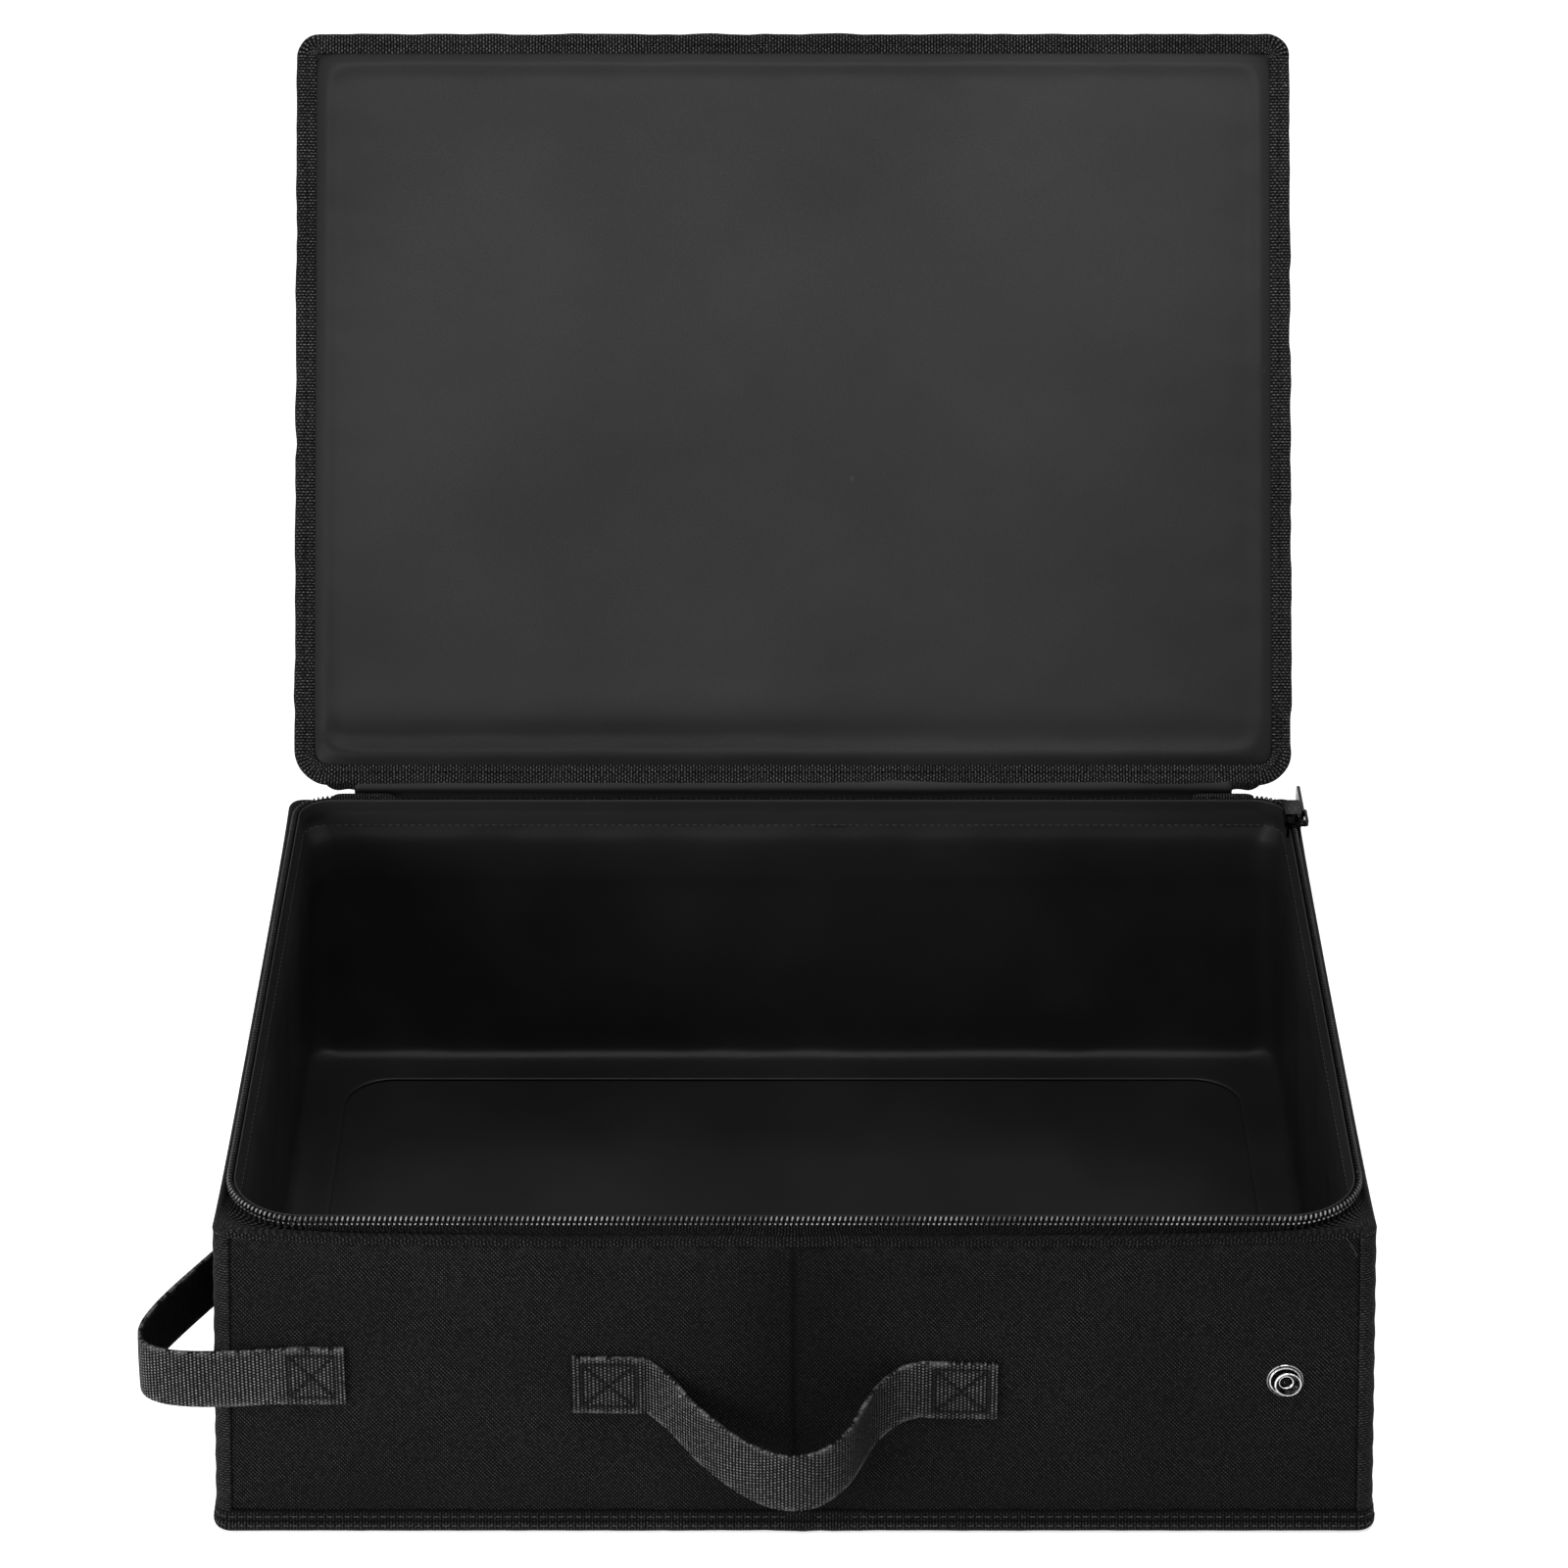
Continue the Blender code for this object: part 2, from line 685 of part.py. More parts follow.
def wall_up(side, z):
    """The direction up a leaning wall."""
    return (wall_point(side, 0, 0.0, WALL_TOP, 0.0) - wall_point(side, 0, 0.0, 0.0, 0.0)).normalized()


def build_front_handle(webbing):
    """The front handle: two sewn ends and a slack loop that bows out and hangs down."""
    up = wall_up("front", HANDLE_HEIGHT)
    left = HANDLE_LEFT + HANDLE_PATCH
    right = HANDLE_RIGHT - HANDLE_PATCH

    def seat(x, drop, bulge, thickness):
        out = -CLEARANCE - thickness / 2 - bulge
        slant = HANDLE_SLANT * (x - HANDLE_LEFT) / (HANDLE_RIGHT - HANDLE_LEFT)
        return wall_point("front", 0, x, HANDLE_HEIGHT - slant - drop, out)

    points = [seat(HANDLE_LEFT, 0.0, 0.0, SEWN_END), seat(left, 0.0, 0.0, SEWN_END)]
    for step in range(1, LOOP_STEPS):
        share = step / LOOP_STEPS
        arch = math.sin(math.pi * share)
        power = HANDLE_LEFT_POWER + (HANDLE_RIGHT_POWER - HANDLE_LEFT_POWER) * share
        drop = HANDLE_DROP * arch**power
        bulge = HANDLE_BULGE * arch**HANDLE_BULGE_POWER
        points.append(seat(left + (right - left) * share, drop, bulge, WEBBING))
    points += [seat(right, 0.0, 0.0, SEWN_END), seat(HANDLE_RIGHT, 0.0, 0.0, SEWN_END)]
    loop_count = LOOP_STEPS - 1
    thicknesses = [SEWN_END] * 2 + [WEBBING] * loop_count + [SEWN_END] * 2
    sections = band(points, [up] * len(points), thicknesses)
    return swept_object("front_handle", sections, webbing)


def build_corner_strap(webbing):
    """The strap round the front left corner, from the front wall to the left wall."""
    front_up = wall_up("front", STRAP_HEIGHT)
    side_up = wall_up("left", STRAP_HEIGHT)
    seat = CLEARANCE + SEWN_END / 2
    start = wall_point("front", -1, STRAP_FRONT_SET + STRAP_PATCH, STRAP_HEIGHT, -seat)
    leave = wall_point("front", -1, STRAP_FRONT_SET, STRAP_HEIGHT, -seat)
    reach = wall_point("left", -1, STRAP_SIDE_SET, STRAP_HEIGHT, -seat)
    end = wall_point("left", -1, STRAP_SIDE_SET + STRAP_SIDE_PATCH, STRAP_HEIGHT, -seat)
    pull_out = leave + Vector((-STRAP_FRONT_PULL, -SEWN_END, 0.0))
    pull_back = reach + Vector((-STRAP_SIDE_PULL, -STRAP_SIDE_BOW, 0.0))
    points = [start]
    ups = [front_up]
    for step in range(LOOP_STEPS + 1):
        share = step / LOOP_STEPS
        rest = 1 - share
        points.append(
            leave * rest**3
            + pull_out * 3 * share * rest**2
            + pull_back * 3 * share**2 * rest
            + reach * share**3
        )
        ups.append(front_up.lerp(side_up, share))
    points.append(end)
    ups.append(side_up)
    inner = LOOP_STEPS - 1
    thicknesses = [SEWN_END] * 2 + [WEBBING] * inner + [SEWN_END] * 2
    return swept_object("corner_strap", band(points, ups, thicknesses), webbing)


def lathe(bm, profile, centre, axis):
    """Turns a closed profile of radius and height about an axis."""
    across = axis.orthogonal().normalized()
    beside = axis.cross(across)
    sections = []
    for step in range(ROUND_STEPS):
        angle = 2 * math.pi * step / ROUND_STEPS
        out = across * math.cos(angle) + beside * math.sin(angle)
        sections.append([centre + out * radius + axis * rise for radius, rise in profile])
    sweep(bm, sections, closed=True)


def build_snap(metal):
    """The snap's ring and flange on the wall, and the rivet that holds them from behind."""
    seat = wall_point("front", 1, SNAP_SET, SNAP_HEIGHT, 0.0)
    up = wall_up("front", SNAP_HEIGHT)
    out = up.cross(Vector((1.0, 0.0, 0.0)))
    out = out if out.y < 0 else -out
    bore = SNAP_SHANK_RADIUS + CLEARANCE
    low = CLEARANCE
    neck = SNAP_RING_RADIUS - SNAP_WAIST
    stud = (
        (bore, low),
        (SNAP_FLANGE_RADIUS - SNAP_WAIST, low),
        (SNAP_FLANGE_RADIUS, low + SNAP_FLANGE / 2),
        (SNAP_FLANGE_RADIUS - SNAP_WAIST, low + SNAP_FLANGE),
        (neck, low + SNAP_FLANGE),
        (SNAP_RING_RADIUS, low + SNAP_RING_RISE - SNAP_FLANGE),
        (neck, low + SNAP_RING_RISE),
        (SNAP_MOUTH_RADIUS + SNAP_WAIST, low + SNAP_RING_RISE),
        (SNAP_MOUTH_RADIUS, low + SNAP_RING_RISE - SNAP_WAIST),
        (SNAP_MOUTH_RADIUS, low + SNAP_MOUTH_FLOOR),
        (bore, low + SNAP_MOUTH_FLOOR),
    )
    bm = bmesh.new()
    lathe(bm, stud, seat, out)
    add_object("snap_stud", bm, metal)
    washer_low = -BOARD_INSET - SNAP_WASHER
    tip = low + SNAP_MOUTH_FLOOR
    rivet = (
        (0.0, washer_low),
        (SNAP_WASHER_RADIUS, washer_low),
        (SNAP_WASHER_RADIUS, -BOARD_INSET),
        (SNAP_SHANK_RADIUS, -BOARD_INSET),
        (SNAP_SHANK_RADIUS, tip),
        (0.0, tip),
    )
    bm = bmesh.new()
    lathe(bm, rivet, seat, out)
    bmesh.ops.remove_doubles(bm, verts=bm.verts, dist=CLEARANCE / 10)
    add_object("snap_rivet", bm, metal)
    cut_hole("front_panel_right", "snap_hole_cut", seat, out, bore)
    cut_hole("front_board_right", "snap_recess_cut", seat, out, SNAP_WASHER_RADIUS + CLEARANCE)


def cut_hole(target_name, name, centre, axis, radius):
    """Cuts a round hole through a wall layer."""
    reach = LINER_INSET + CUT_OVERRUN
    bm = bmesh.new()
    lathe(bm, ((0.0, -reach), (radius, -reach), (radius, CUT_OVERRUN), (0.0, CUT_OVERRUN)), centre, axis)
    bmesh.ops.remove_doubles(bm, verts=bm.verts, dist=CLEARANCE / 10)
    add_operand(name, bm, bpy.data.objects[target_name], "DIFFERENCE")


def main():
    clear_scene()
    fabric = make_material("outer fabric", (0.014, 0.014, 0.015), 0.85)
    trim = make_material("binding tape", (0.016, 0.016, 0.017), 0.80)
    coated = make_material("coated liner", (0.022, 0.022, 0.024), 0.50)
    board = make_material("stiffening board", (0.35, 0.33, 0.30), 0.75)
    tape = make_material("zip tape", (0.012, 0.012, 0.013), 0.85)
    chain = make_material("zip chain", (0.020, 0.020, 0.022), 0.35)
    webbing = make_material("webbing", (0.022, 0.022, 0.024), 0.65)
    metal = make_material("black metal", (0.03, 0.03, 0.03), 0.28, 1.0)

    pivot = bpy.data.objects.new("lid_pivot", None)
    bpy.context.scene.collection.objects.link(pivot)
    pivot.location = HINGE_POINT
    pivot.rotation_euler = (-LID_OPEN_ANGLE, 0.0, 0.0)

    build_shell(fabric, trim, board)
    build_liner(coated)
    build_hem(trim)
    build_zip(tape, chain, pivot)
    build_zip_tabs(trim)
    build_lid(fabric, trim, board, coated, pivot)
    build_hinge(trim, pivot)
    slider, centre, plate = build_slider(metal)
    build_pull(metal, centre, plate)
    build_front_handle(webbing)
    build_corner_strap(webbing)
    build_snap(metal)


main()
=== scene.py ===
"""Dresses the foldable litter box: woven walls, coated liner, padded lid, coil zip and webbing.

Every surface is a grid of points worked out with numpy in metres, +Z up, the front facing -Y.
The lid is worked out closed and then turned open about its hinge, as the CAD model stands.
"""

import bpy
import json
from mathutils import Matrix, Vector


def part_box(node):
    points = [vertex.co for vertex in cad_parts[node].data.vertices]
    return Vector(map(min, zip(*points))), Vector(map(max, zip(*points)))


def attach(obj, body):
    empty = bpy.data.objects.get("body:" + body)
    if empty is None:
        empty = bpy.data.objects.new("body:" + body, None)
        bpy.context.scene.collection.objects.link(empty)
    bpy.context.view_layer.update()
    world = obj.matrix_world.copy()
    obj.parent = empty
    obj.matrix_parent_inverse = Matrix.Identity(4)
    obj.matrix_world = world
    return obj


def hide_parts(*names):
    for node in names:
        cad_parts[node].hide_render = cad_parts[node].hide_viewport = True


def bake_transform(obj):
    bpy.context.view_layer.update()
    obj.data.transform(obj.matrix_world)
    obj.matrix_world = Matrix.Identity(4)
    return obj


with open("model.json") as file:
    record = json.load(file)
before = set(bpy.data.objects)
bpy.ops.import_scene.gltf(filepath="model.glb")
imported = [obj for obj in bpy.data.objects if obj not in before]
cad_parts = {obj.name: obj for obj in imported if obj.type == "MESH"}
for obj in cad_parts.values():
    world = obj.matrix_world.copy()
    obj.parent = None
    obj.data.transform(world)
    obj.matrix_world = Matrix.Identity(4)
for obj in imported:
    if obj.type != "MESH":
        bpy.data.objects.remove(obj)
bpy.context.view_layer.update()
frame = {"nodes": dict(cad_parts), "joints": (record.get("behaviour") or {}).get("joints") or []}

import json
import math

import bpy
import numpy as np
from bpy.props import FloatProperty, FloatVectorProperty, PointerProperty

bl_info = {
    "name": "Foldable litter box",
    "version": (1, 0, 0),
    "blender": (4, 5, 0),
    "location": "3D View > Sidebar > Litter Box",
    "description": "Builds the fabric, zip, webbing and fasteners of a foldable litter box",
    "category": "Object",
}

CORNER = 0.005
CHAIN_HALF = 0.0013

# Places read from the CAD model.
_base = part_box("bottom_panel")[1]
_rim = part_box("rim_hem")
_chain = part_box("zip_chain_box")
_hinge = next(joint for joint in frame["joints"] if joint["name"] == "lid_hinge")
BASE_X, BASE_Y = _base[0], _base[1]
RIM_X, RIM_Y = _rim[1][0], _rim[1][1]
WALL_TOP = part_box("waterproof_liner")[1][2]
HEM_TOP = _rim[1][2]
CHAIN_LOW, CHAIN_TOP = _chain[0][2], _chain[1][2]
ZIP_X = _chain[1][0] - CHAIN_HALF
ZIP_Y = -_chain[0][1] - CHAIN_HALF
HINGE = np.array(_hinge["pos_m"])
LID_ANGLE = math.radians(-_hinge["range_deg"][0])
SLOPE_Y = BASE_Y - RIM_Y
SLOPE_X = BASE_X - RIM_X

# Radii and insets that the model's solids were built with, and heights on the closed lid.
ZIP_FRONT_RADIUS = 0.028
ZIP_BACK_RADIUS = 0.014
LID_FRONT_RADIUS = 0.0075
LID_BACK_RADIUS = 0.012
LID_TAPE_Z = 0.1347
LID_LOW, LID_TOP = 0.1334, 0.1403
LID_EDGE = 0.0062
LID_BOARD_Z = 0.1353
LINER_INSET = 0.0042
LINER_RADIUS = 0.009
FLOOR_TOP = 0.0049
FOOT = 0.0012
WALL_GAP = 0.0036

# Thickness of the cloths, and where the stitching of the webbing lies.
WALL_THICK = 0.0008
LINER_THICK = 0.0005
TAPE_THICK = 0.0006
BINDING_THICK = 0.0007
SEWN_MARGIN = 0.0035
SEWN_SIDE = 0.00275
WEBBING_THICK, SEWN_EXTRA = 0.0014, 0.0012

# Leaves only the level part of a direction.
LEVEL = np.array([1, 1, 0])
# The order of a quad's corners, as steps up the rows and along the columns of a grid.
ALONG_FIRST = ((0, 0), (0, 1), (1, 1), (1, 0))
UP_FIRST = ((0, 0), (1, 0), (1, 1), (0, 1))


# Arrays of points.


def rounded_loop(half_x, half_y, radii, side=40, arc=12):
    """A rounded rectangle from its front right corner, anticlockwise.

    Each corner is a quarter circle of its own radius: centre plus radius times the cosine and
    sine of an angle that grows evenly. Straight runs are even steps between the quarters.
    """
    radii = np.broadcast_to(radii, 4).astype(float)
    signs = np.array([(1, -1), (1, 1), (-1, 1), (-1, -1)], float)
    centres = signs * (np.array([half_x, half_y]) - radii[:, None])
    angles = np.radians(np.array([-90, 0, 90, 180])[:, None] + np.linspace(0, 90, arc + 1))
    quarter = np.stack([np.cos(angles), np.sin(angles)], -1) * radii[:, None, None]
    quarter += centres[:, None, :]
    start, end = quarter[:, -1], np.roll(quarter[:, 0], -1, axis=0)
    share = np.linspace(0, 1, side + 1)[1:-1][None, :, None]
    run = start[:, None] + (end - start)[:, None] * share
    return np.concatenate([quarter, run], axis=1).reshape(-1, 2)


def wall_halves(z):
    """Half the walls' width and depth at a height: they lean in evenly from the foot to the rim."""
    share = z / WALL_TOP
    return BASE_X + (RIM_X - BASE_X) * share, BASE_Y + (RIM_Y - BASE_Y) * share


def wall_loop(z, inset, radius=CORNER, side=40, arc=12):
    """The walls' outline at a height, moved in by the inset."""
    half_x, half_y = wall_halves(z)
    return rounded_loop(half_x - inset, half_y - inset, radius, side, arc)


def zip_loop(offset, side=40, arc=12, lid=False):
    """The zip's line moved outwards by an offset, at the box's rim or round the lid."""
    front = LID_FRONT_RADIUS if lid else ZIP_FRONT_RADIUS
    back = LID_BACK_RADIUS if lid else ZIP_BACK_RADIUS
    radii = np.maximum(np.array([front, back, back, front]) + offset, 0.0004)
    return rounded_loop(ZIP_X + offset, ZIP_Y + offset, radii, side, arc)


def at_height(loop, z):
    """Gives a flat loop its height, one value or one for each point."""
    return np.concatenate([loop, np.broadcast_to(z, len(loop))[:, None]], axis=1)


def opened(points):
    """Turns closed-lid points open: a rotation about the hinge line by the lid's angle."""
    cosine, sine = math.cos(-LID_ANGLE), math.sin(-LID_ANGLE)
    moved = points - HINGE
    turned = moved.copy()
    turned[..., 1] = moved[..., 1] * cosine - moved[..., 2] * sine
    turned[..., 2] = moved[..., 1] * sine + moved[..., 2] * cosine
    return turned + HINGE


def through(rows, steps):
    """A smooth surface through rows of points: a Catmull-Rom curve for each column."""
    rows = np.asarray(rows, float)
    padded = np.concatenate([rows[:1] * 2 - rows[1:2], rows, rows[-1:] * 2 - rows[-2:-1]])
    place = np.linspace(0, len(rows) - 1, steps)
    index = np.minimum(place.astype(int), len(rows) - 2)
    t = (place - index).reshape((-1,) + (1,) * (rows.ndim - 1))
    a, b, c, d = (padded[index + k] for k in range(4))
    return 0.5 * (2 * b + (c - a) * t + (2 * a - 5 * b + 4 * c - d) * t**2 + (3 * b - a - 3 * c + d) * t**3)


def ripple(u, v, size, seed):
    """A gentle unevenness from -1 to 1: the mean of seven even sine waves of mixed headings."""
    waves = 7
    rng = np.random.default_rng(seed)
    heading = rng.uniform(0, 2 * math.pi, waves)
    rate = 2 * math.pi / size * rng.uniform(0.6, 1.7, waves)
    phase = rng.uniform(0, 2 * math.pi, waves)
    turn = u[..., None] * rate * np.cos(heading) + v[..., None] * rate * np.sin(heading) + phase
    return np.sin(turn).mean(-1) * 1.6


def unit(vectors):
    """Vectors divided by their own lengths."""
    return vectors / np.maximum(np.linalg.norm(vectors, axis=-1, keepdims=True), 1e-12)


def lengths(points, closed=False):
    """Distance along a row of points from its first, and back to it where the row is closed."""
    steps = np.linalg.norm(np.diff(points, axis=0), axis=-1)
    if closed:
        steps = np.append(steps, np.linalg.norm(points[0] - points[-1]))
    return np.concatenate([[0], np.cumsum(steps)])


def ripple_round(loop, size, seed, level=0.0):
    """A ripple with the distance round a loop."""
    far = lengths(loop, True)[:-1]
    return ripple(far, np.full_like(far, level), size, seed)


def bell(value, centre, width):
    """A bell curve: 1 at the centre, and falling off over the width on both sides."""
    return np.exp(-(((value - centre) / width) ** 2))


def sample(path, far, place):
    """A path's points at distances along it, on straight lines between its own points."""
    return np.stack([np.interp(place, far, path[:, k]) for k in range(3)], -1)


def seam_round(loop, z):
    """A run for stitches: a loop at a height, closed, and the level direction out from it."""
    path = at_height(loop, z)
    path = np.concatenate([path, path[:1]])
    return path, unit(path * LEVEL)


def grid_normals(points, closed):
    """Cross product of the steps along the columns and up the rows of a grid."""
    if closed:
        along = np.roll(points, -1, axis=1) - np.roll(points, 1, axis=1)
    else:
        along = np.gradient(points, axis=1)
    return unit(np.cross(along, np.gradient(points, axis=0)))


# Meshes.


def add_mesh(name, points, faces, uv, edge=None, fold=None):
    """A smooth mesh of quads with a UV map in metres, its faces turned outwards.

    The edge mask says where it is worn, and on the zip coil and the snap how strong their painted
    highlights are; the fold mask is painted shade, where it is deep in a fold or turned from the lamps.
    """
    points = np.asarray(points, float).reshape(-1, 3)
    corners = points[faces]
    area = np.cross(corners[:, 2] - corners[:, 0], corners[:, 3] - corners[:, 1])
    if (area * (corners.mean(1) - points.mean(0))).sum() < 0:
        faces = faces[:, ::-1]
        uv = uv[:, ::-1]
    mesh = bpy.data.meshes.new(name)
    mesh.from_pydata(points.tolist(), [], faces.tolist())
    layer = mesh.uv_layers.new(name="UVMap")
    layer.data.foreach_set("uv", np.ascontiguousarray(uv, np.float32).ravel())
    for label, values in (("edge", edge), ("fold", fold)):
        if values is not None:
            mask = mesh.attributes.new(label, "FLOAT", "POINT")
            mask.data.foreach_set("value", np.ascontiguousarray(values, np.float32).ravel())
    mesh.shade_smooth()
    item = bpy.data.objects.new(name, mesh)
    bpy.context.scene.collection.objects.link(item)
    return item


def grid_faces(rows, cols, joined, turns, place=None):
    """The quads of a grid, and the UV places of their corners where the grid has them.

    Joined says, for the rows and for the columns, whether the last one meets the first again.
    """
    spans = [size if meets else size - 1 for size, meets in zip((rows, cols), joined)]
    r, c = np.meshgrid(np.arange(spans[0]), np.arange(spans[1]), indexing="ij")
    faces = np.stack([(r + i) % rows * cols + (c + j) % cols for i, j in turns], -1).reshape(-1, 4)
    if place is None:
        return faces
    return faces, np.stack([place[r + i, c + j] for i, j in turns], 2).reshape(-1, 4, 2)


def two_sided(name, ring, place, closed, edge, fold):
    """A closed sheet whose rows go up the front and back down behind, with its open ends shut."""
    count, cols = ring.shape[:2]
    faces, uv = grid_faces(count, cols, (True, closed), ALONG_FIRST, place)
    if not closed:
        k = np.arange(count // 2 - 1)
        for column, order in ((0, 1), (cols - 1, -1)):
            cap = np.stack([k, k + 1, count - 2 - k, count - 1 - k], -1)[:, ::order]
            faces = np.concatenate([faces, cap * cols + column])
            uv = np.concatenate([uv, place[cap, column]])
    return add_mesh(name, ring, faces, uv, edge, fold)


def capped_tube(name, rings, place, poles, ends, order, edge=None):
    """Rings joined into a tube, with quads that fan out from a pole at each end."""
    count, sides = rings.shape[:2]
    faces, uv = grid_faces(count, sides, (False, True), UP_FIRST, place)
    points = rings.reshape(-1, 3)
    k = np.arange(0, sides, 2)
    for start, pole, end in ((0, poles[0], ends[0]), ((count - 1) * sides, poles[1], ends[1])):
        fan = np.stack([k, k + 1, (k + 2) % sides], -1) + start
        fan = np.concatenate([np.full((len(k), 1), len(points)), fan], axis=1)[:, ::order]
        points = np.concatenate([points, [pole]])
        faces = np.concatenate([faces, fan])
        uv = np.concatenate([uv, np.broadcast_to(end, (len(k), 4, 2))])
        order = -order
    return add_mesh(name, points, faces, uv, edge)


def shell(name, points, thickness, closed=True, edge=None, fold=0.0, behind=None):
    """A closed sheet: a grid of points, and the same grid moved back along its normals.

    Rows run across the sheet and columns along it. The thickness is one value or one for each
    column. U is the distance along and V the distance across. The fold mask, painted shade, is
    given for the front, and for the sheet's back where that differs.
    """
    rows, cols = points.shape[:2]
    back = points - grid_normals(points, closed) * np.broadcast_to(thickness, (rows, cols))[..., None]
    up = lengths(points[:, cols // 2])
    place = np.meshgrid(lengths(points[rows // 2], closed), np.concatenate([up, up[::-1], up[:1]]))
    edge = np.zeros(rows) if edge is None else edge
    edge = np.repeat(np.concatenate([edge, edge[::-1]])[:, None], cols, axis=1)
    fold = np.broadcast_to(fold, (rows, cols))
    behind = fold if behind is None else np.broadcast_to(behind, (rows, cols))
    fold = np.concatenate([fold, behind[::-1]])
    return two_sided(name, np.concatenate([points, back[::-1]]), np.stack(place, -1), closed, edge, fold)


def tube(name, path, radius, normal, u=None, edge=0.0):
    """A round cord: six points at the radius about each point of a path, with pointed ends."""
    sides = 6
    tangent = unit(np.gradient(path, axis=0))
    side = unit(np.cross(tangent, normal + np.zeros_like(path)))
    up = np.cross(side, tangent)
    angle = np.linspace(0, 2 * math.pi, sides, endpoint=False)[None, :, None]
    rings = path[:, None] + radius * (np.cos(angle) * side[:, None] + np.sin(angle) * up[:, None])
    u = lengths(path) if u is None else u
    place = np.stack(np.meshgrid(u, np.arange(sides + 1) / sides, indexing="ij"), -1)
    edge = np.repeat(np.broadcast_to(edge, len(path)), sides)
    edge = np.concatenate([edge, edge[[0, -1]]])
    return capped_tube(name, rings, place, path[[0, -1]], ((u[0], 0.5), (u[-1], 0.5)), 1, edge)


def stitches(name, runs, spacing=0.0030, length=0.0021, radius=0.00022):
    """A row of sewn stitches along each run: small beads, each an ellipsoid along the thread.

    A run is a path and the direction that it faces. Beads sit at even distances along it.
    """
    rings, sides, tip, near = 5, 6, 0.18, 1e-4
    polar = np.linspace(tip, math.pi - tip, rings)
    around = np.linspace(0, 2 * math.pi, sides, endpoint=False)
    x = (np.cos(polar)[:, None] * length / 2 + 0 * around).ravel()
    y = (np.sin(polar)[:, None] * np.cos(around) * radius).ravel()
    z = (np.sin(polar)[:, None] * np.sin(around) * radius).ravel()
    bead = grid_faces(rings, sides, (False, True), UP_FIRST)
    ends = np.array([[0, 1, 2, 3], [0, 3, 4, 5]])
    bead = np.concatenate([bead, ends, (ends + (rings - 1) * sides)[:, ::-1]])
    beads = []
    for path, facing in runs:
        far = lengths(path)
        number = max(int(far[-1] / spacing), 1)
        place = (np.arange(number) + 0.5) * far[-1] / number
        centre = sample(path, far, place)
        tangent = unit(sample(path, far, place + near) - sample(path, far, place - near))
        facing = sample(np.broadcast_to(facing, path.shape), far, place)
        out = unit(facing - tangent * (tangent * facing).sum(-1, keepdims=True))
        side = np.cross(tangent, out)
        points = centre[:, None] + tangent[:, None] * x[:, None] + side[:, None] * y[:, None]
        beads.append((points + out[:, None] * z[:, None]).reshape(-1, 3))
    points = np.concatenate(beads)
    faces = (bead[None] + np.arange(0, len(points), len(x))[:, None, None]).reshape(-1, 4)
    return add_mesh(name, points, faces, np.stack([x, y], -1)[faces % len(x)])


# Shader node groups, built once and placed in each material with its own values.


class Wiring:
    """Places nodes in a tree and joins them, so that a formula reads as one line."""

    def __init__(self, tree):
        self.tree = tree

    def node(self, kind, **settings):
        made = self.tree.nodes.new(kind)
        for key, value in settings.items():
            setattr(made, key, value)
        return made

    def feed(self, socket, value):
        if isinstance(value, bpy.types.NodeSocket):
            self.tree.links.new(value, socket)
        else:
            socket.default_value = value

    def fill(self, made, **values):
        """Feeds a node's sockets by name, with a line for each space, and gives the node back."""
        for key, value in values.items():
            self.feed(made.inputs[key.replace("_", " ").title()], value)
        return made

    def math(self, operation, *values, clamp=False):
        made = self.node("ShaderNodeMath", operation=operation, use_clamp=clamp)
        for socket, value in zip(made.inputs, values):
            self.feed(socket, value)
        return made.outputs[0]

    def smooth(self, value, low, high):
        made = self.node("ShaderNodeMapRange", interpolation_type="SMOOTHSTEP")
        return self.fill(made, value=value, from_min=low, from_max=high).outputs["Result"]

    def spread(self, value, low, high):
        made = self.node("ShaderNodeMapRange")
        return self.fill(made, value=value, to_min=low, to_max=high).outputs["Result"]

    def mix(self, factor, first, second):
        made = self.node("ShaderNodeMix", data_type="RGBA")
        for socket, value in zip((0, 6, 7), (factor, first, second)):
            self.feed(made.inputs[socket], value)
        return made.outputs[2]

    def place(self, group, **values):
        return self.fill(self.node("ShaderNodeGroup", node_tree=group), **values).outputs

    def here(self):
        """The place on the object itself."""
        return self.node("ShaderNodeTexCoord").outputs["Object"]

    def along(self):
        """The distances along and across the cloth."""
        return self.node("ShaderNodeUVMap", uv_map="UVMap").outputs["UV"]

    def mask(self, name):
        return self.node("ShaderNodeAttribute", attribute_name=name).outputs["Fac"]

    def noise(self, scale, **values):
        made = self.node("ShaderNodeTexNoise")
        return self.fill(made, vector=self.here(), scale=scale, **values).outputs["Fac"]

    def parts(self, vector):
        return self.fill(self.node("ShaderNodeSeparateXYZ"), vector=vector).outputs


def new_group(name, inputs, outputs):
    """An empty shader node group with named sockets, and its wiring, input and output nodes.

    An input's value is its default, and an input without one is a place on the cloth.
    """
    group = bpy.data.node_groups.new(name, "ShaderNodeTree")
    for label, value in inputs.items():
        kind = "NodeSocketVector" if value is None else "NodeSocketFloat"
        socket = group.interface.new_socket(label, in_out="INPUT", socket_type=kind)
        if value is not None:
            socket.default_value = value
    for label in outputs:
        group.interface.new_socket(label, in_out="OUTPUT", socket_type="NodeSocketFloat")
    w = Wiring(group)
    return group, w, w.node("NodeGroupInput").outputs, w.node("NodeGroupOutput").inputs


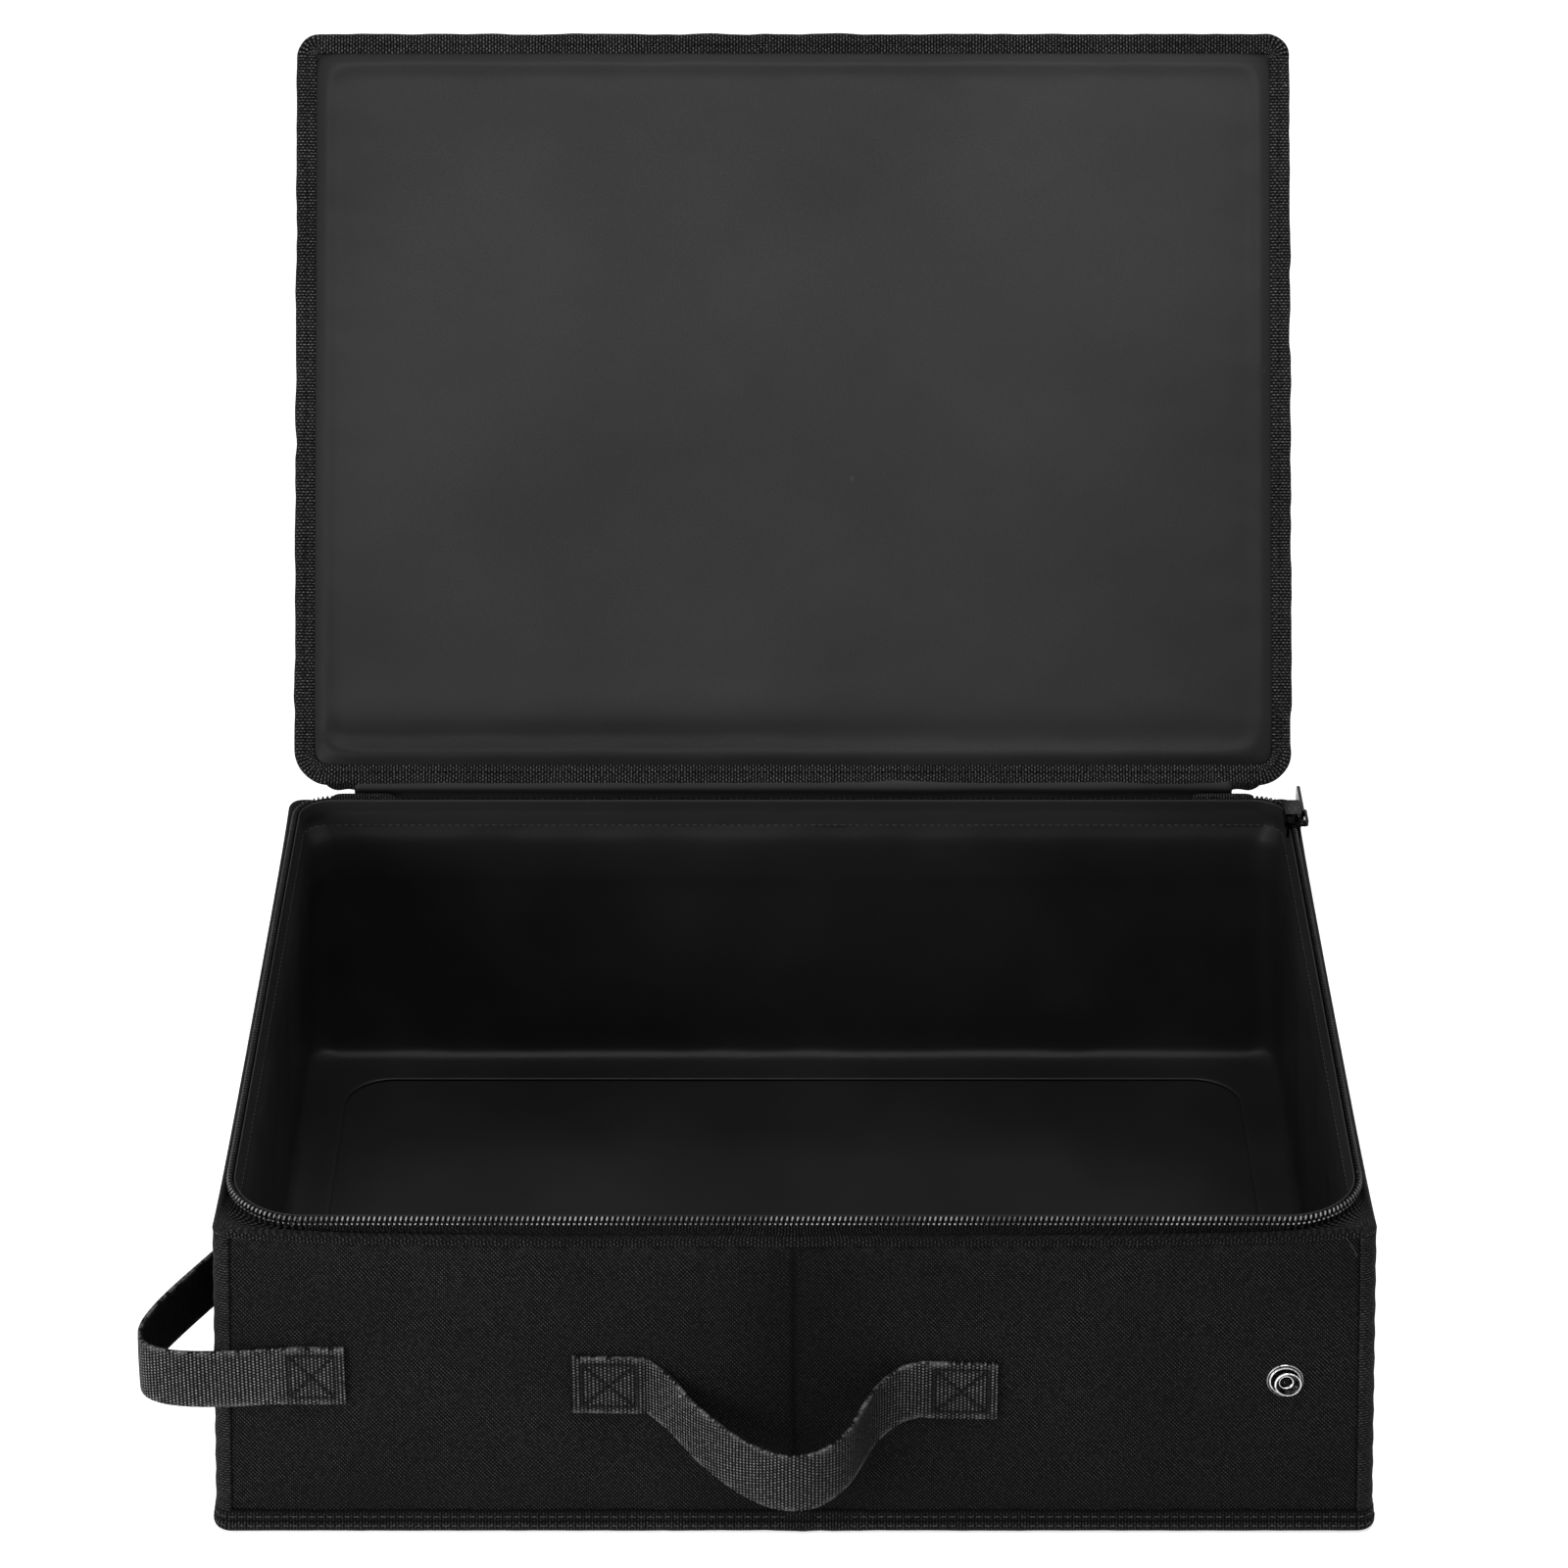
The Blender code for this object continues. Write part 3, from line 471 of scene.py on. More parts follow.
def crossed_yarns():
    """Staggered yarn crossings with a diagonal grain: a product of two cosines, leant by a third."""
    group, w, given, out = new_group(
        "Crossed yarns", {"Place": None, "Across": 0.0014, "Row": 0.0008, "Lean": 0.4}, ("Relief", "Crest")
    )
    across, up = w.parts(given["Place"])[:2]
    u = w.math("MULTIPLY", w.math("DIVIDE", across, given["Across"]), 2 * math.pi)
    v = w.math("MULTIPLY", w.math("DIVIDE", up, given["Row"]), math.pi)
    dots = w.math("MULTIPLY", w.math("COSINE", u), w.math("COSINE", v))
    grain = w.math("COSINE", w.math("ADD", u, v))
    lean = w.math("MULTIPLY", w.math("SUBTRACT", grain, dots), given["Lean"])
    relief = w.math("MULTIPLY_ADD", w.math("ADD", dots, lean), 0.5, 0.5)
    w.feed(out["Relief"], relief)
    w.feed(out["Crest"], w.smooth(relief, 0.60, 1.0))
    return group


def woven_ribs():
    """Ribs across a tape, each broken into beads that step over by half from rib to rib."""
    group, w, given, out = new_group(
        "Woven ribs", {"Place": None, "Pitch": 0.0014, "Bead": 0.0011, "Break": 0.35}, ("Relief", "Crest")
    )
    along, across = w.parts(given["Place"])[:2]
    turn = w.math("DIVIDE", along, given["Pitch"])
    rib = w.math("ABSOLUTE", w.math("SINE", w.math("MULTIPLY", turn, math.pi)))
    step = w.math("MULTIPLY", w.math("FLOOR", turn), math.pi)
    beat = w.math("MULTIPLY", w.math("DIVIDE", across, given["Bead"]), 2 * math.pi)
    bead = w.math("MULTIPLY_ADD", w.math("COSINE", w.math("ADD", beat, step)), 0.5, 0.5)
    dip = w.math("SUBTRACT", 1.0, w.math("MULTIPLY", given["Break"], w.math("SUBTRACT", 1.0, bead)))
    relief = w.math("MULTIPLY", rib, dip)
    w.feed(out["Relief"], relief)
    w.feed(out["Crest"], w.smooth(relief, 0.50, 1.0))
    return group


def cloth_unevenness():
    """Slow changes of shade, fine fuzz and a few specks of lint, by the place on the object."""
    group, w, given, out = new_group(
        "Cloth unevenness", {"Patch": 0.05, "Lint": 0.02}, ("Shade", "Fuzz", "Speck")
    )
    broad = w.noise(w.math("DIVIDE", 1.0, given["Patch"]), detail=3.0)
    lint = w.node("ShaderNodeTexVoronoi")
    lint = w.fill(lint, vector=w.here(), scale=w.math("DIVIDE", 1.0, given["Lint"])).outputs["Distance"]
    w.feed(out["Shade"], w.smooth(broad, 0.3, 0.7))
    w.feed(out["Fuzz"], w.noise(900.0, detail=2.0))
    w.feed(out["Speck"], w.math("SUBTRACT", 1.0, w.smooth(lint, 0.012, 0.024)))
    return group


def rubbed_edge():
    """Wear along the edges: the piece's edge mask, broken up by fine noise."""
    group, w, given, out = new_group("Rubbed edge", {"Amount": 0.5}, ("Wear",))
    worn_and_glinting = w.math("MULTIPLY", w.smooth(w.noise(240.0), 0.4, 0.65), w.mask("edge"))
    w.feed(out["Wear"], w.math("MULTIPLY", worn_and_glinting, given["Amount"], clamp=True))
    return group


def tint(colour, scale=1.0):
    """A colour with alpha, made lighter or darker."""
    return (*(min(part * scale, 1.0) for part in colour), 1.0)


def start_material(name):
    """A new material with its wiring and its shader."""
    finish = bpy.data.materials.new(name)
    finish.use_nodes = True
    return finish, Wiring(finish.node_tree), finish.node_tree.nodes["Principled BSDF"]


def paint(w, shader, colour, rough, level=0.5):
    """Gives the shader its colour, its roughness and the level of its gloss."""
    w.fill(shader, base_color=colour, roughness=rough)
    shader.inputs["Specular IOR Level"].default_value = level


def bump(w, shader, height, distance, strength=1.0, below=None):
    """Raises the surface by a height field, on top of another bump where there is one."""
    raised = w.fill(w.node("ShaderNodeBump"), distance=distance, strength=strength, height=height)
    if below is not None:
        w.feed(raised.inputs["Normal"], below)
    w.feed(shader.inputs["Normal"], raised.outputs["Normal"])
    return raised.outputs["Normal"]


def woven_cloth(name, groups, weave, values, dark, light, rough, level, lift, wear):
    """Cloth whose yarns catch the light: a weave group sets colour, roughness and relief. Over the weave's
    own pattern, the crests take the light colour as a painted highlight and the hollows the dark one as
    painted shade, and the fold mask adds painted shade.
    """
    finish, w, shader = start_material(name)
    yarns = w.place(groups[weave], place=w.along(), **values)
    uneven = w.place(groups["uneven"], patch=0.06)
    rubbed = w.place(groups["rubbed"], amount=wear)["Wear"]
    fuzz = w.smooth(uneven["Fuzz"], 0.30, 0.72)
    # Painted highlight: the yarns' crests take the light colour, the hollows the dark one as painted shade.
    lit = w.math("MULTIPLY", yarns["Crest"], w.spread(fuzz, 0.30, 1.15), clamp=True)
    shade = w.mix(lit, tint(dark), tint(light))
    for amount, over in (
        (w.spread(uneven["Shade"], 0.0, 0.30), tint(dark, 0.55)),
        # Painted shade where the fold mask is set.
        (w.mask("fold"), tint(dark, 0.4)),
        (w.math("MULTIPLY", rubbed, 0.4), tint(light, 1.2)),
        (w.math("MULTIPLY", uneven["Speck"], 0.55), tint(light, 3.0)),
    ):
        shade = w.mix(amount, shade, over)
    paint(w, shader, shade, w.spread(lit, rough, rough - 0.18), level)
    fuzzy = bump(w, shader, uneven["Fuzz"], 0.00008, 0.6)
    bump(w, shader, yarns["Relief"], lift, 1.0, fuzzy)
    return finish


def coated_cloth(name, groups, dark, light, rough, level, patch):
    """Coated cloth: a smooth film with the yarns' faint print, soft creases and dull smudges, darkened as
    painted shade where the fold mask is set.
    """
    finish, w, shader = start_material(name)
    yarns = w.place(groups["yarns"], place=w.along(), across=0.0011, row=0.0006, lean=0.2)
    uneven = w.place(groups["uneven"], patch=patch, lint=0.05)
    colour = w.mix(uneven["Shade"], tint(dark), tint(light))
    # Painted shade where the fold mask is set.
    colour = w.mix(w.mask("fold"), colour, tint(dark, 0.2))
    colour = w.mix(w.math("MULTIPLY", uneven["Speck"], 0.4), colour, tint(light, 2.0))
    paint(w, shader, colour, w.spread(uneven["Fuzz"], rough - 0.05, rough + 0.08), level)
    crease = bump(w, shader, w.noise(26.0), 0.0012, 0.35)
    bump(w, shader, yarns["Relief"], 0.00003, 0.5, crease)
    return finish


def sewing_thread(name, groups, dark, light):
    """Twisted thread: slanted plies along each stitch, with the plies' crests painted light as a highlight.
    """
    finish, w, shader = start_material(name)
    plies = w.place(groups["ribs"], place=w.along(), pitch=0.0005, bead=0.0006, **{"break": 0.4})
    uneven = w.place(groups["uneven"], patch=0.02)
    # Painted highlight on the crests of the plies.
    lit = w.spread(w.math("MULTIPLY", plies["Crest"], uneven["Fuzz"]), 0.45, 1.0)
    paint(w, shader, w.mix(lit, tint(dark), tint(light)), w.spread(uneven["Fuzz"], 0.5, 0.8), 0.2)
    bump(w, shader, plies["Relief"], 0.00006)
    return finish


def coil_nylon(name, groups, dark, light):
    """Zip coil: moulded nylon, with highlights painted in a pale colour on the heads of its turns."""
    finish, w, shader = start_material(name)
    turn = w.parts(w.along())[0]
    # Painted highlights: a stroke on the upper, outer face of each turn and a dot on its lower face.
    upper = w.math("COSINE", w.math("MULTIPLY_ADD", turn, 2 * math.pi, -0.85))
    lower = w.math("COSINE", w.math("MULTIPLY_ADD", turn, 2 * math.pi, 0.80))
    upper = w.math("MULTIPLY", w.smooth(upper, 0.76, 0.99), 0.55)
    lower = w.smooth(lower, 0.88, 0.99)
    uneven = w.place(groups["uneven"], patch=0.03)
    # The edge mask sets how strong the painted highlights are along the zip.
    patchy = w.math("MULTIPLY", w.mask("edge"), w.spread(uneven["Shade"], 0.35, 1.15))
    worn_and_glinting = w.math("MULTIPLY", w.math("MAXIMUM", upper, lower), patchy, clamp=True)
    paint(w, shader, w.mix(worn_and_glinting, tint(dark), tint(light)), w.spread(uneven["Fuzz"], 0.30, 0.50), 0.15)
    bump(w, shader, uneven["Fuzz"], 0.00005, 0.5)
    return finish


def lacquered_metal(name, groups, dark, light, ring_glint):
    """Black lacquered metal: scuffed here and there, with highlights painted in a pale colour along its
    raised rings.
    """
    finish, w, shader = start_material(name)
    uneven = w.place(groups["uneven"], patch=0.004)
    scuff = w.noise(700.0, detail=4.0)
    kept = w.spread(w.smooth(scuff, 0.36, 0.44), 0.25, 1.0)
    colour = w.mix(w.smooth(scuff, 0.60, 0.74), tint(dark), tint(light))
    # Painted highlight along the raised rings, where the edge mask is set.
    colour = w.mix(w.math("MULTIPLY", w.mask("edge"), kept, clamp=True), colour, tint(ring_glint))
    paint(w, shader, colour, w.spread(uneven["Shade"], 0.22, 0.36))
    shader.inputs["Metallic"].default_value = 1.0
    bump(w, shader, scuff, 0.00004, 0.5)
    return finish


def pressed_board(name, groups, dark, light):
    """Pressed fibre board: flecks of fibre in a matt sheet."""
    finish, w, shader = start_material(name)
    uneven = w.place(groups["uneven"], patch=0.01, lint=0.006)
    fibre = w.noise(420.0, distortion=2.0)
    colour = w.mix(w.math("MULTIPLY", uneven["Shade"], fibre), tint(dark), tint(light))
    paint(w, shader, colour, w.spread(uneven["Fuzz"], 0.7, 0.9))
    bump(w, shader, fibre, 0.0001, 0.6)
    return finish


_finishes = {}


def finish_named(key):
    """A finish by name. All of them are made on first use from the colours in the panel."""
    if not _finishes:
        make_finishes(bpy.context.scene.litter_box_colours)
    return _finishes[key]


def make_finishes(c):
    """Every finish, from the colours in the panel."""
    groups = {
        "yarns": crossed_yarns(),
        "ribs": woven_ribs(),
        "uneven": cloth_unevenness(),
        "rubbed": rubbed_edge(),
    }
    for key, name, weave, values, rough, level, lift, wear in (
        ("wall", "wall cloth", "yarns", (0.0014, 0.0008, 0.45), 0.85, 0.06, 0.00022, 0.4),
        ("binding", "binding tape", "ribs", (0.0011, 0.0016, 0.25), 0.85, 0.06, 0.00016, 0.4),
        ("tape", "zip tape twill", "ribs", (0.0012, 0.0014, 0.35), 0.82, 0.06, 0.00016, 0.4),
        ("webbing", "webbing", "ribs", (0.0014, 0.0012, 0.5), 0.72, 0.08, 0.00030, 0.6),
    ):
        names = ("across", "row", "lean") if weave == "yarns" else ("pitch", "bead", "break")
        dark, light = getattr(c, f"{key}_dark"), getattr(c, f"{key}_light")
        values = dict(zip(names, values))
        _finishes[key] = woven_cloth(name, groups, weave, values, dark, light, rough, level, lift, wear)
    _finishes["liner"] = coated_cloth(
        "coated liner", groups, c.liner_dark, c.liner_light, rough=0.42, level=0.12, patch=0.09
    )
    _finishes["lining"] = coated_cloth(
        "coated lining", groups, c.lining_dark, c.lining_light, rough=0.45, level=0.12, patch=0.12
    )
    _finishes["thread"] = sewing_thread("sewing thread", groups, c.wall_dark, c.thread_light)
    _finishes["black_thread"] = sewing_thread("black thread", groups, c.webbing_dark, c.wall_dark)
    _finishes["coil"] = coil_nylon("coil nylon", groups, c.coil_dark, c.coil_glint)
    _finishes["metal"] = lacquered_metal(
        "black lacquered metal", groups, c.metal_dark, c.metal_light, c.metal_ring_glint
    )
    _finishes["board"] = pressed_board("pressed board", groups, c.board_dark, c.board_light)


def finish_off(item, key, body, slot, *nodes):
    """Gives a piece its finish and the body it rides on, and hides the nodes it stands for. The slot is not
    used.
    """
    item.data.materials.append(finish_named(key))
    if body is not None:
        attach(item, body)
    if nodes:
        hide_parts(*nodes)
    return item


# Walls.


def rim_rise(x, y):
    """How far the walls' top edge rises towards a corner: a decay with the distance from it."""
    most, fade, far = 0.0042, 0.035, 0.2
    along = np.minimum(RIM_X - np.abs(x), far)
    deep = np.minimum(RIM_Y - np.abs(y), far)
    return most * np.exp(-np.maximum(along, deep) / fade)


def wall_surface(side, across, up, sizes):
    """A wall's cloth: its leaning plane, a shallow belly, the middle seam's fold and slight waves."""
    wide = side in ("front", "back")
    sign = -1 if side in ("front", "left") else 1
    if wide:
        rise = rim_rise(across * RIM_X, np.full_like(across, RIM_Y))
    else:
        rise = rim_rise(np.full_like(across, RIM_X), across * RIM_Y)
    z = FOOT + (WALL_TOP + rise - FOOT) * up
    half_x, half_y = wall_halves(z)
    depth, reach = (half_y, half_x) if wide else (half_x, half_y)
    along = across * (reach - WALL_GAP)
    out = (1 - across**4) * np.clip(1 - (2 * up - 1) ** 4, 0, 1) * sizes.belly
    inside = (1 - across**6) * np.clip(1 - (2 * up - 1) ** 6, 0, 1)
    out = out + sizes.wave * ripple(along, z, 0.09, len(side)) * inside
    if wide:
        out = out - sizes.seam_depth * (0.45 * bell(along, 0, 0.010) + 0.55 * bell(along, 0, 0.0011))
        return np.stack([along, sign * (depth + out), z], -1)
    return np.stack([sign * (depth + out), along, z], -1)


def build_wall(side, sizes):
    """One wall's cloth, with rows that crowd towards the middle seam on the wide walls."""
    wide = side in ("front", "back")
    spread = np.linspace(-1, 1, 181 if wide else 121)
    spread = np.sign(spread) * np.abs(spread) ** 1.4 if wide else spread
    across, up = np.meshgrid(spread, np.linspace(0, 1, 49))
    points = wall_surface(side, across, up, sizes)
    if side in ("back", "left"):
        points = points[:, ::-1]
    edge = np.abs(np.linspace(-1, 1, 49)) ** 24
    if wide:
        # Painted shade: the cloth is darkened in a broad band about the middle seam, and most in the seam
        # itself.
        fold = 0.45 * bell(points[..., 0], 0, 0.028) + 0.4 * bell(points[..., 0], 0, 0.0015)
        nodes = [f"{side}_panel_left", f"{side}_panel_right"]
    else:
        fold = 0.0
        nodes = [f"{side}_side_panel"]
    item = shell(f"{side}_wall_cloth", points, WALL_THICK, closed=False, edge=edge, fold=fold)
    finish_off(item, "wall", "box", "outer_fabric", *nodes)


def corner_path(sign_x, sign_y, z, out):
    """Round one upright corner: most of a quarter circle, moved outwards."""
    half_x, half_y = wall_halves(z)
    angle = np.radians(np.linspace(6, 84, 16))
    x = half_x - CORNER + (CORNER + out) * np.cos(angle)
    y = half_y - CORNER + (CORNER + out) * np.sin(angle)
    return np.stack([sign_x * x, sign_y * y, np.full_like(x, z)], -1)


def build_corner(sign_x, sign_y, name):
    """The binding on one upright corner: arcs stacked up the wall, with a slight wave."""
    rise = float(rim_rise(np.array(RIM_X), np.array(RIM_Y)))
    lift, tuck, wave_height, wave_size, inwards = 0.0005, 0.00045, 0.00015, 0.011, 0.03
    heights = np.linspace(FOOT, WALL_TOP + rise, 40)
    wave = wave_height * np.sin(heights * 2 * math.pi / wave_size + sign_x + 2 * sign_y)
    points = np.stack([corner_path(sign_x, sign_y, z, lift + k) for z, k in zip(heights, wave)])
    middle = np.array([sign_x * (RIM_X - inwards), sign_y * (RIM_Y - inwards), 0.0])
    tucked = np.zeros((1, points.shape[1], 1))
    tucked[:, [0, -1]] = tuck
    points = np.swapaxes(points - unit((points - middle) * LEVEL) * tucked, 0, 1)
    if sign_x * sign_y < 0:
        points = points[::-1]
    edge = np.abs(np.linspace(-1, 1, len(points))) ** 6
    item = shell(f"{name}_corner_binding", points, BINDING_THICK, closed=False, edge=edge)
    finish_off(item, "binding", "box", "binding_tape", f"corner_binding_{name}")


def build_base_band(sizes):
    """The folded band round the foot: a rounded profile carried round the box, gathered by a ripple."""
    steps = {"side": 120, "arc": 10}
    loop = wall_loop(0.004, 0.0, **steps)
    gather = ripple_round(loop, 0.016, 5)
    seam = bell(loop[:, 0], 0, 0.02)
    rows = []
    for out, z in (
        (-0.0002, 0.0086), (0.0007, 0.0084), (0.0010, 0.0068), (0.0008, 0.0052), (0.0001, 0.0044),
        (0.0012, 0.0036), (0.0015, 0.0022), (0.0010, 0.0011), (-0.0006, 0.0008),
    ):
        loop = wall_loop(z, -out, CORNER + max(out, 0), **steps)
        push = gather * sizes.gather * (0.5 + seam) * (0.4 if z > 0.008 else 1.0)
        heights = np.maximum(z + gather * 0.0003 * (z > 0.002), 0.0001)
        rows.append(at_height(loop + unit(loop) * push[:, None], heights))
    points = through(rows, 33)
    points[..., 2] = np.maximum(points[..., 2], 0.0007)
    # Painted shade: the fold mask darkens the upper half of the band, and most the fold along its top and the
    # tuck across its middle.
    step = np.linspace(0, 8, 33)
    fold = 0.45 * (step < 3.6) + 0.95 * bell(step, 4.0, 0.8) + 0.95 * bell(step, 0.6, 0.45)
    item = shell("base_band", points, TAPE_THICK, fold=np.clip(fold, 0, 0.95)[:, None])
    finish_off(item, "binding", "box", "binding_tape", "base_binding")
    runs = [
        seam_round(wall_loop(z, -out, CORNER + out, **steps), z)
        for z, out in ((0.0068, 0.0016), (0.0032, 0.0020))
    ]
    thread = stitches("base_band_stitches", runs, spacing=0.0032, length=0.0024)
    finish_off(thread, "thread", "box", "binding_tape")


def build_bottom():
    """The cloth under the box: a flat grid with a slight quilted unevenness."""
    x, y = np.meshgrid(np.linspace(-1, 1, 61), np.linspace(-1, 1, 47))
    flat = 0.0007 + 0.0003 * ripple(x * 0.2, y * 0.15, 0.05, 3)
    points = np.stack([x * (BASE_X - 0.001), y * (BASE_Y - 0.001), np.clip(flat, 0.0003, 0.0012)], -1)
    edge = np.abs(np.linspace(-1, 1, 47)) ** 20
    item = shell("bottom_cloth", points[::-1], 0.0003, closed=False, edge=edge)
    finish_off(item, "wall", "box", "outer_fabric", "bottom_panel")


# Rim and zip.


def build_rim():
    """The rim's cloth: rows that run from the zip's line out to the walls' top and over it."""
    wall_out = wall_loop(WALL_TOP, -0.0001, side=90)
    wave = ripple_round(wall_out, 0.05, 11)
    top = WALL_TOP + rim_rise(wall_out[:, 0], wall_out[:, 1])
    zip_at = zip_loop(-0.0003, side=90)
    base = CHAIN_LOW - 0.0030
    rows = [
        at_height(zip_at, CHAIN_TOP - 0.0008),
        at_height(zip_at, CHAIN_LOW + 0.0006),
        at_height(zip_at, base + 0.0002 * wave),
        at_height(zip_at * 0.62 + wall_out * 0.38, base * 0.6 + top * 0.4 + 0.0003 * wave),
        at_height(zip_at * 0.22 + wall_out * 0.78, top + 0.0026 + 0.0003 * wave),
        at_height(wall_out, top + 0.0020),
        at_height(wall_loop(WALL_TOP - 0.001, -0.0005, side=90), top + 0.0008),
        at_height(wall_loop(WALL_TOP, -0.0004, side=90), top - 0.0003 + 0.0002 * wave),
    ]
    # Painted shade: the fold mask darkens the rim tape along its runs, less at the corners and along its last
    # rows.
    corner = np.exp(-np.maximum(RIM_X - np.abs(wall_out[:, 0]), RIM_Y - np.abs(wall_out[:, 1])) / 0.012)
    down = np.linspace(0, 1, 30)[:, None]
    fold = 0.72 - 0.35 * corner[None] - 0.35 * bell(down, 0.96, 0.03)
    item = shell("rim_tape", through(rows, 30), LINER_THICK, fold=fold)
    finish_off(item, "tape", "box", "zip_tape", "zip_tape_box", "rim_hem")

    liner = wall_loop(WALL_TOP, LINER_INSET + 0.0006, LINER_RADIUS, side=90)
    under = wall_loop(WALL_TOP, LINER_INSET + 0.0008, LINER_RADIUS, side=90)
    zip_in = zip_loop(-0.0013, side=90)
    rows = [
        at_height(zip_in, CHAIN_TOP - 0.0008),
        at_height(zip_in, CHAIN_LOW - 0.0020),
        at_height(zip_in * 0.55 + liner * 0.45, WALL_TOP + 0.0022 + 0.0003 * wave),
        at_height(liner, WALL_TOP - 0.0006),
        at_height(under, WALL_TOP - 0.0032 + 0.0004 * wave),
    ]
    # Painted shade: the facing inside the rim is darkened evenly.
    item = shell("rim_facing", through(rows, 22)[:, ::-1], LINER_THICK, fold=0.35)
    finish_off(item, "lining", "box", "coated_liner")

    inner = wall_loop(WALL_TOP, LINER_INSET + 0.0012, LINER_RADIUS, side=90)
    inner, outward = seam_round(inner, WALL_TOP - 0.0022)
    outer = seam_round(wall_loop(WALL_TOP, -0.0008, side=90), top + 0.0005)
    thread = stitches("rim_stitches", [outer, (inner, -outward)])
    finish_off(thread, "thread", "box", "binding_tape")


def zip_path(offset, z, lid=False):
    """The zip's open line, from one back corner round the front to the other."""
    side, arc = 160, 30
    loop = zip_loop(offset, side, arc, lid)
    loop = np.roll(loop, -2 * (side + arc), axis=0)[: -(side - 1)]
    return at_height(loop, z)


def coil_points(path, wide, tall, pitch, flat):
    """A coil about a path: at each of twelve steps in a turn, a place on a rounded ellipse.

    Seen along the path, the wire's place is the width times a cosine outwards and the height
    times a sine up, with both drawn out towards a box. It goes once round in each pitch.
    """
    far = lengths(path)
    turns = int(far[-1] / pitch)
    t = np.linspace(0, 2 * math.pi * turns, turns * 12 + 1)
    centre = sample(path, far, t / (2 * math.pi) * pitch)
    up = np.array([0.0, 0.0, 1.0])
    out = unit(np.cross(unit(np.gradient(centre, axis=0)), up))
    out = out * np.sign((out * centre * LEVEL).sum(-1, keepdims=True))
    up = np.broadcast_to(up, out.shape)
    if flat:
        out, up = up, out
    cosine, sine = np.cos(t), np.sin(t)
    square = (np.abs(cosine) ** 4 + np.abs(sine) ** 4) ** -0.25
    core = centre + out * (wide * cosine * square)[:, None] + up * (tall * sine * square)[:, None]
    return core, t / (2 * math.pi), -out


def build_coil(body, sizes):
    """One half of the zip's coil: lying flat and turned open on the lid, upright on the box.

    The box's coil has its painted highlights strongest along the front: a smooth step of the place from front
    to back.
    """
    wire, tall = 0.00034, 0.0014
    if body == "lid":
        path = zip_path(-0.0007, LID_TAPE_Z + 0.0004, True)
        core, u, guide = coil_points(path, 0.0009, tall, sizes.coil_pitch, flat=True)
        core, guide = opened(core), opened(guide + HINGE) - HINGE
        rubbed = 0.0
    else:
        path = zip_path(0.0002, (CHAIN_LOW + CHAIN_TOP) / 2)
        core, u, guide = coil_points(path, 0.00085, tall, sizes.coil_pitch, flat=False)
        # How strong the painted highlights are: full along the front, faint towards the back.
        rubbed = 0.14 + 0.86 / (1 + np.exp((core[:, 1] + ZIP_Y - 0.020) / 0.004))
    name = "lid_coil" if body == "lid" else "rim_coil"
    item = tube(name, core, wire, unit(guide + 1e-3), u, rubbed)
    finish_off(item, "coil", body, "zip_chain", f"zip_chain_{body}")


def build_tabs():
    """The folded tab at each end of the zip: a rounded slab of ribbed tape.

    Its outline is a circle drawn out towards a box, by a power of the cosine and the sine.
    """
    count, sides, power = 40, 32, 0.45
    angle = np.linspace(0, 2 * math.pi, sides, endpoint=False)
    flat_y = np.sign(np.cos(angle)) * np.abs(np.cos(angle)) ** power
    flat_z = np.sign(np.sin(angle)) * np.abs(np.sin(angle)) ** power
    swell = 1 - 0.25 * np.abs(np.linspace(-1, 1, count))[:, None] ** 10
    for name in ("left", "right"):
        low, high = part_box(f"zip_end_tab_{name}")
        half_y = (high[1] - low[1]) / 2 + 0.0002
        half_z = (high[2] - low[2]) / 2 + 0.0006
        x = np.linspace(low[0] - 0.0004, high[0] + 0.0004, count)
        y = (low[1] + high[1]) / 2 + flat_y * half_y * swell
        z = (low[2] + high[2]) / 2 + 0.0006 + flat_z * half_z * swell
        rings = np.stack([np.broadcast_to(x[:, None], y.shape), y, z], -1)
        place = np.stack(np.meshgrid(x - x[0], lengths(rings[count // 2], True), indexing="ij"), -1)
        item = capped_tube(f"zip_tab_{name}", rings, place, rings[[0, -1]].mean(1), (0.0, 0.0), -1)
        finish_off(item, "binding", "box", "binding_tape", f"zip_end_tab_{name}")


# Liner.


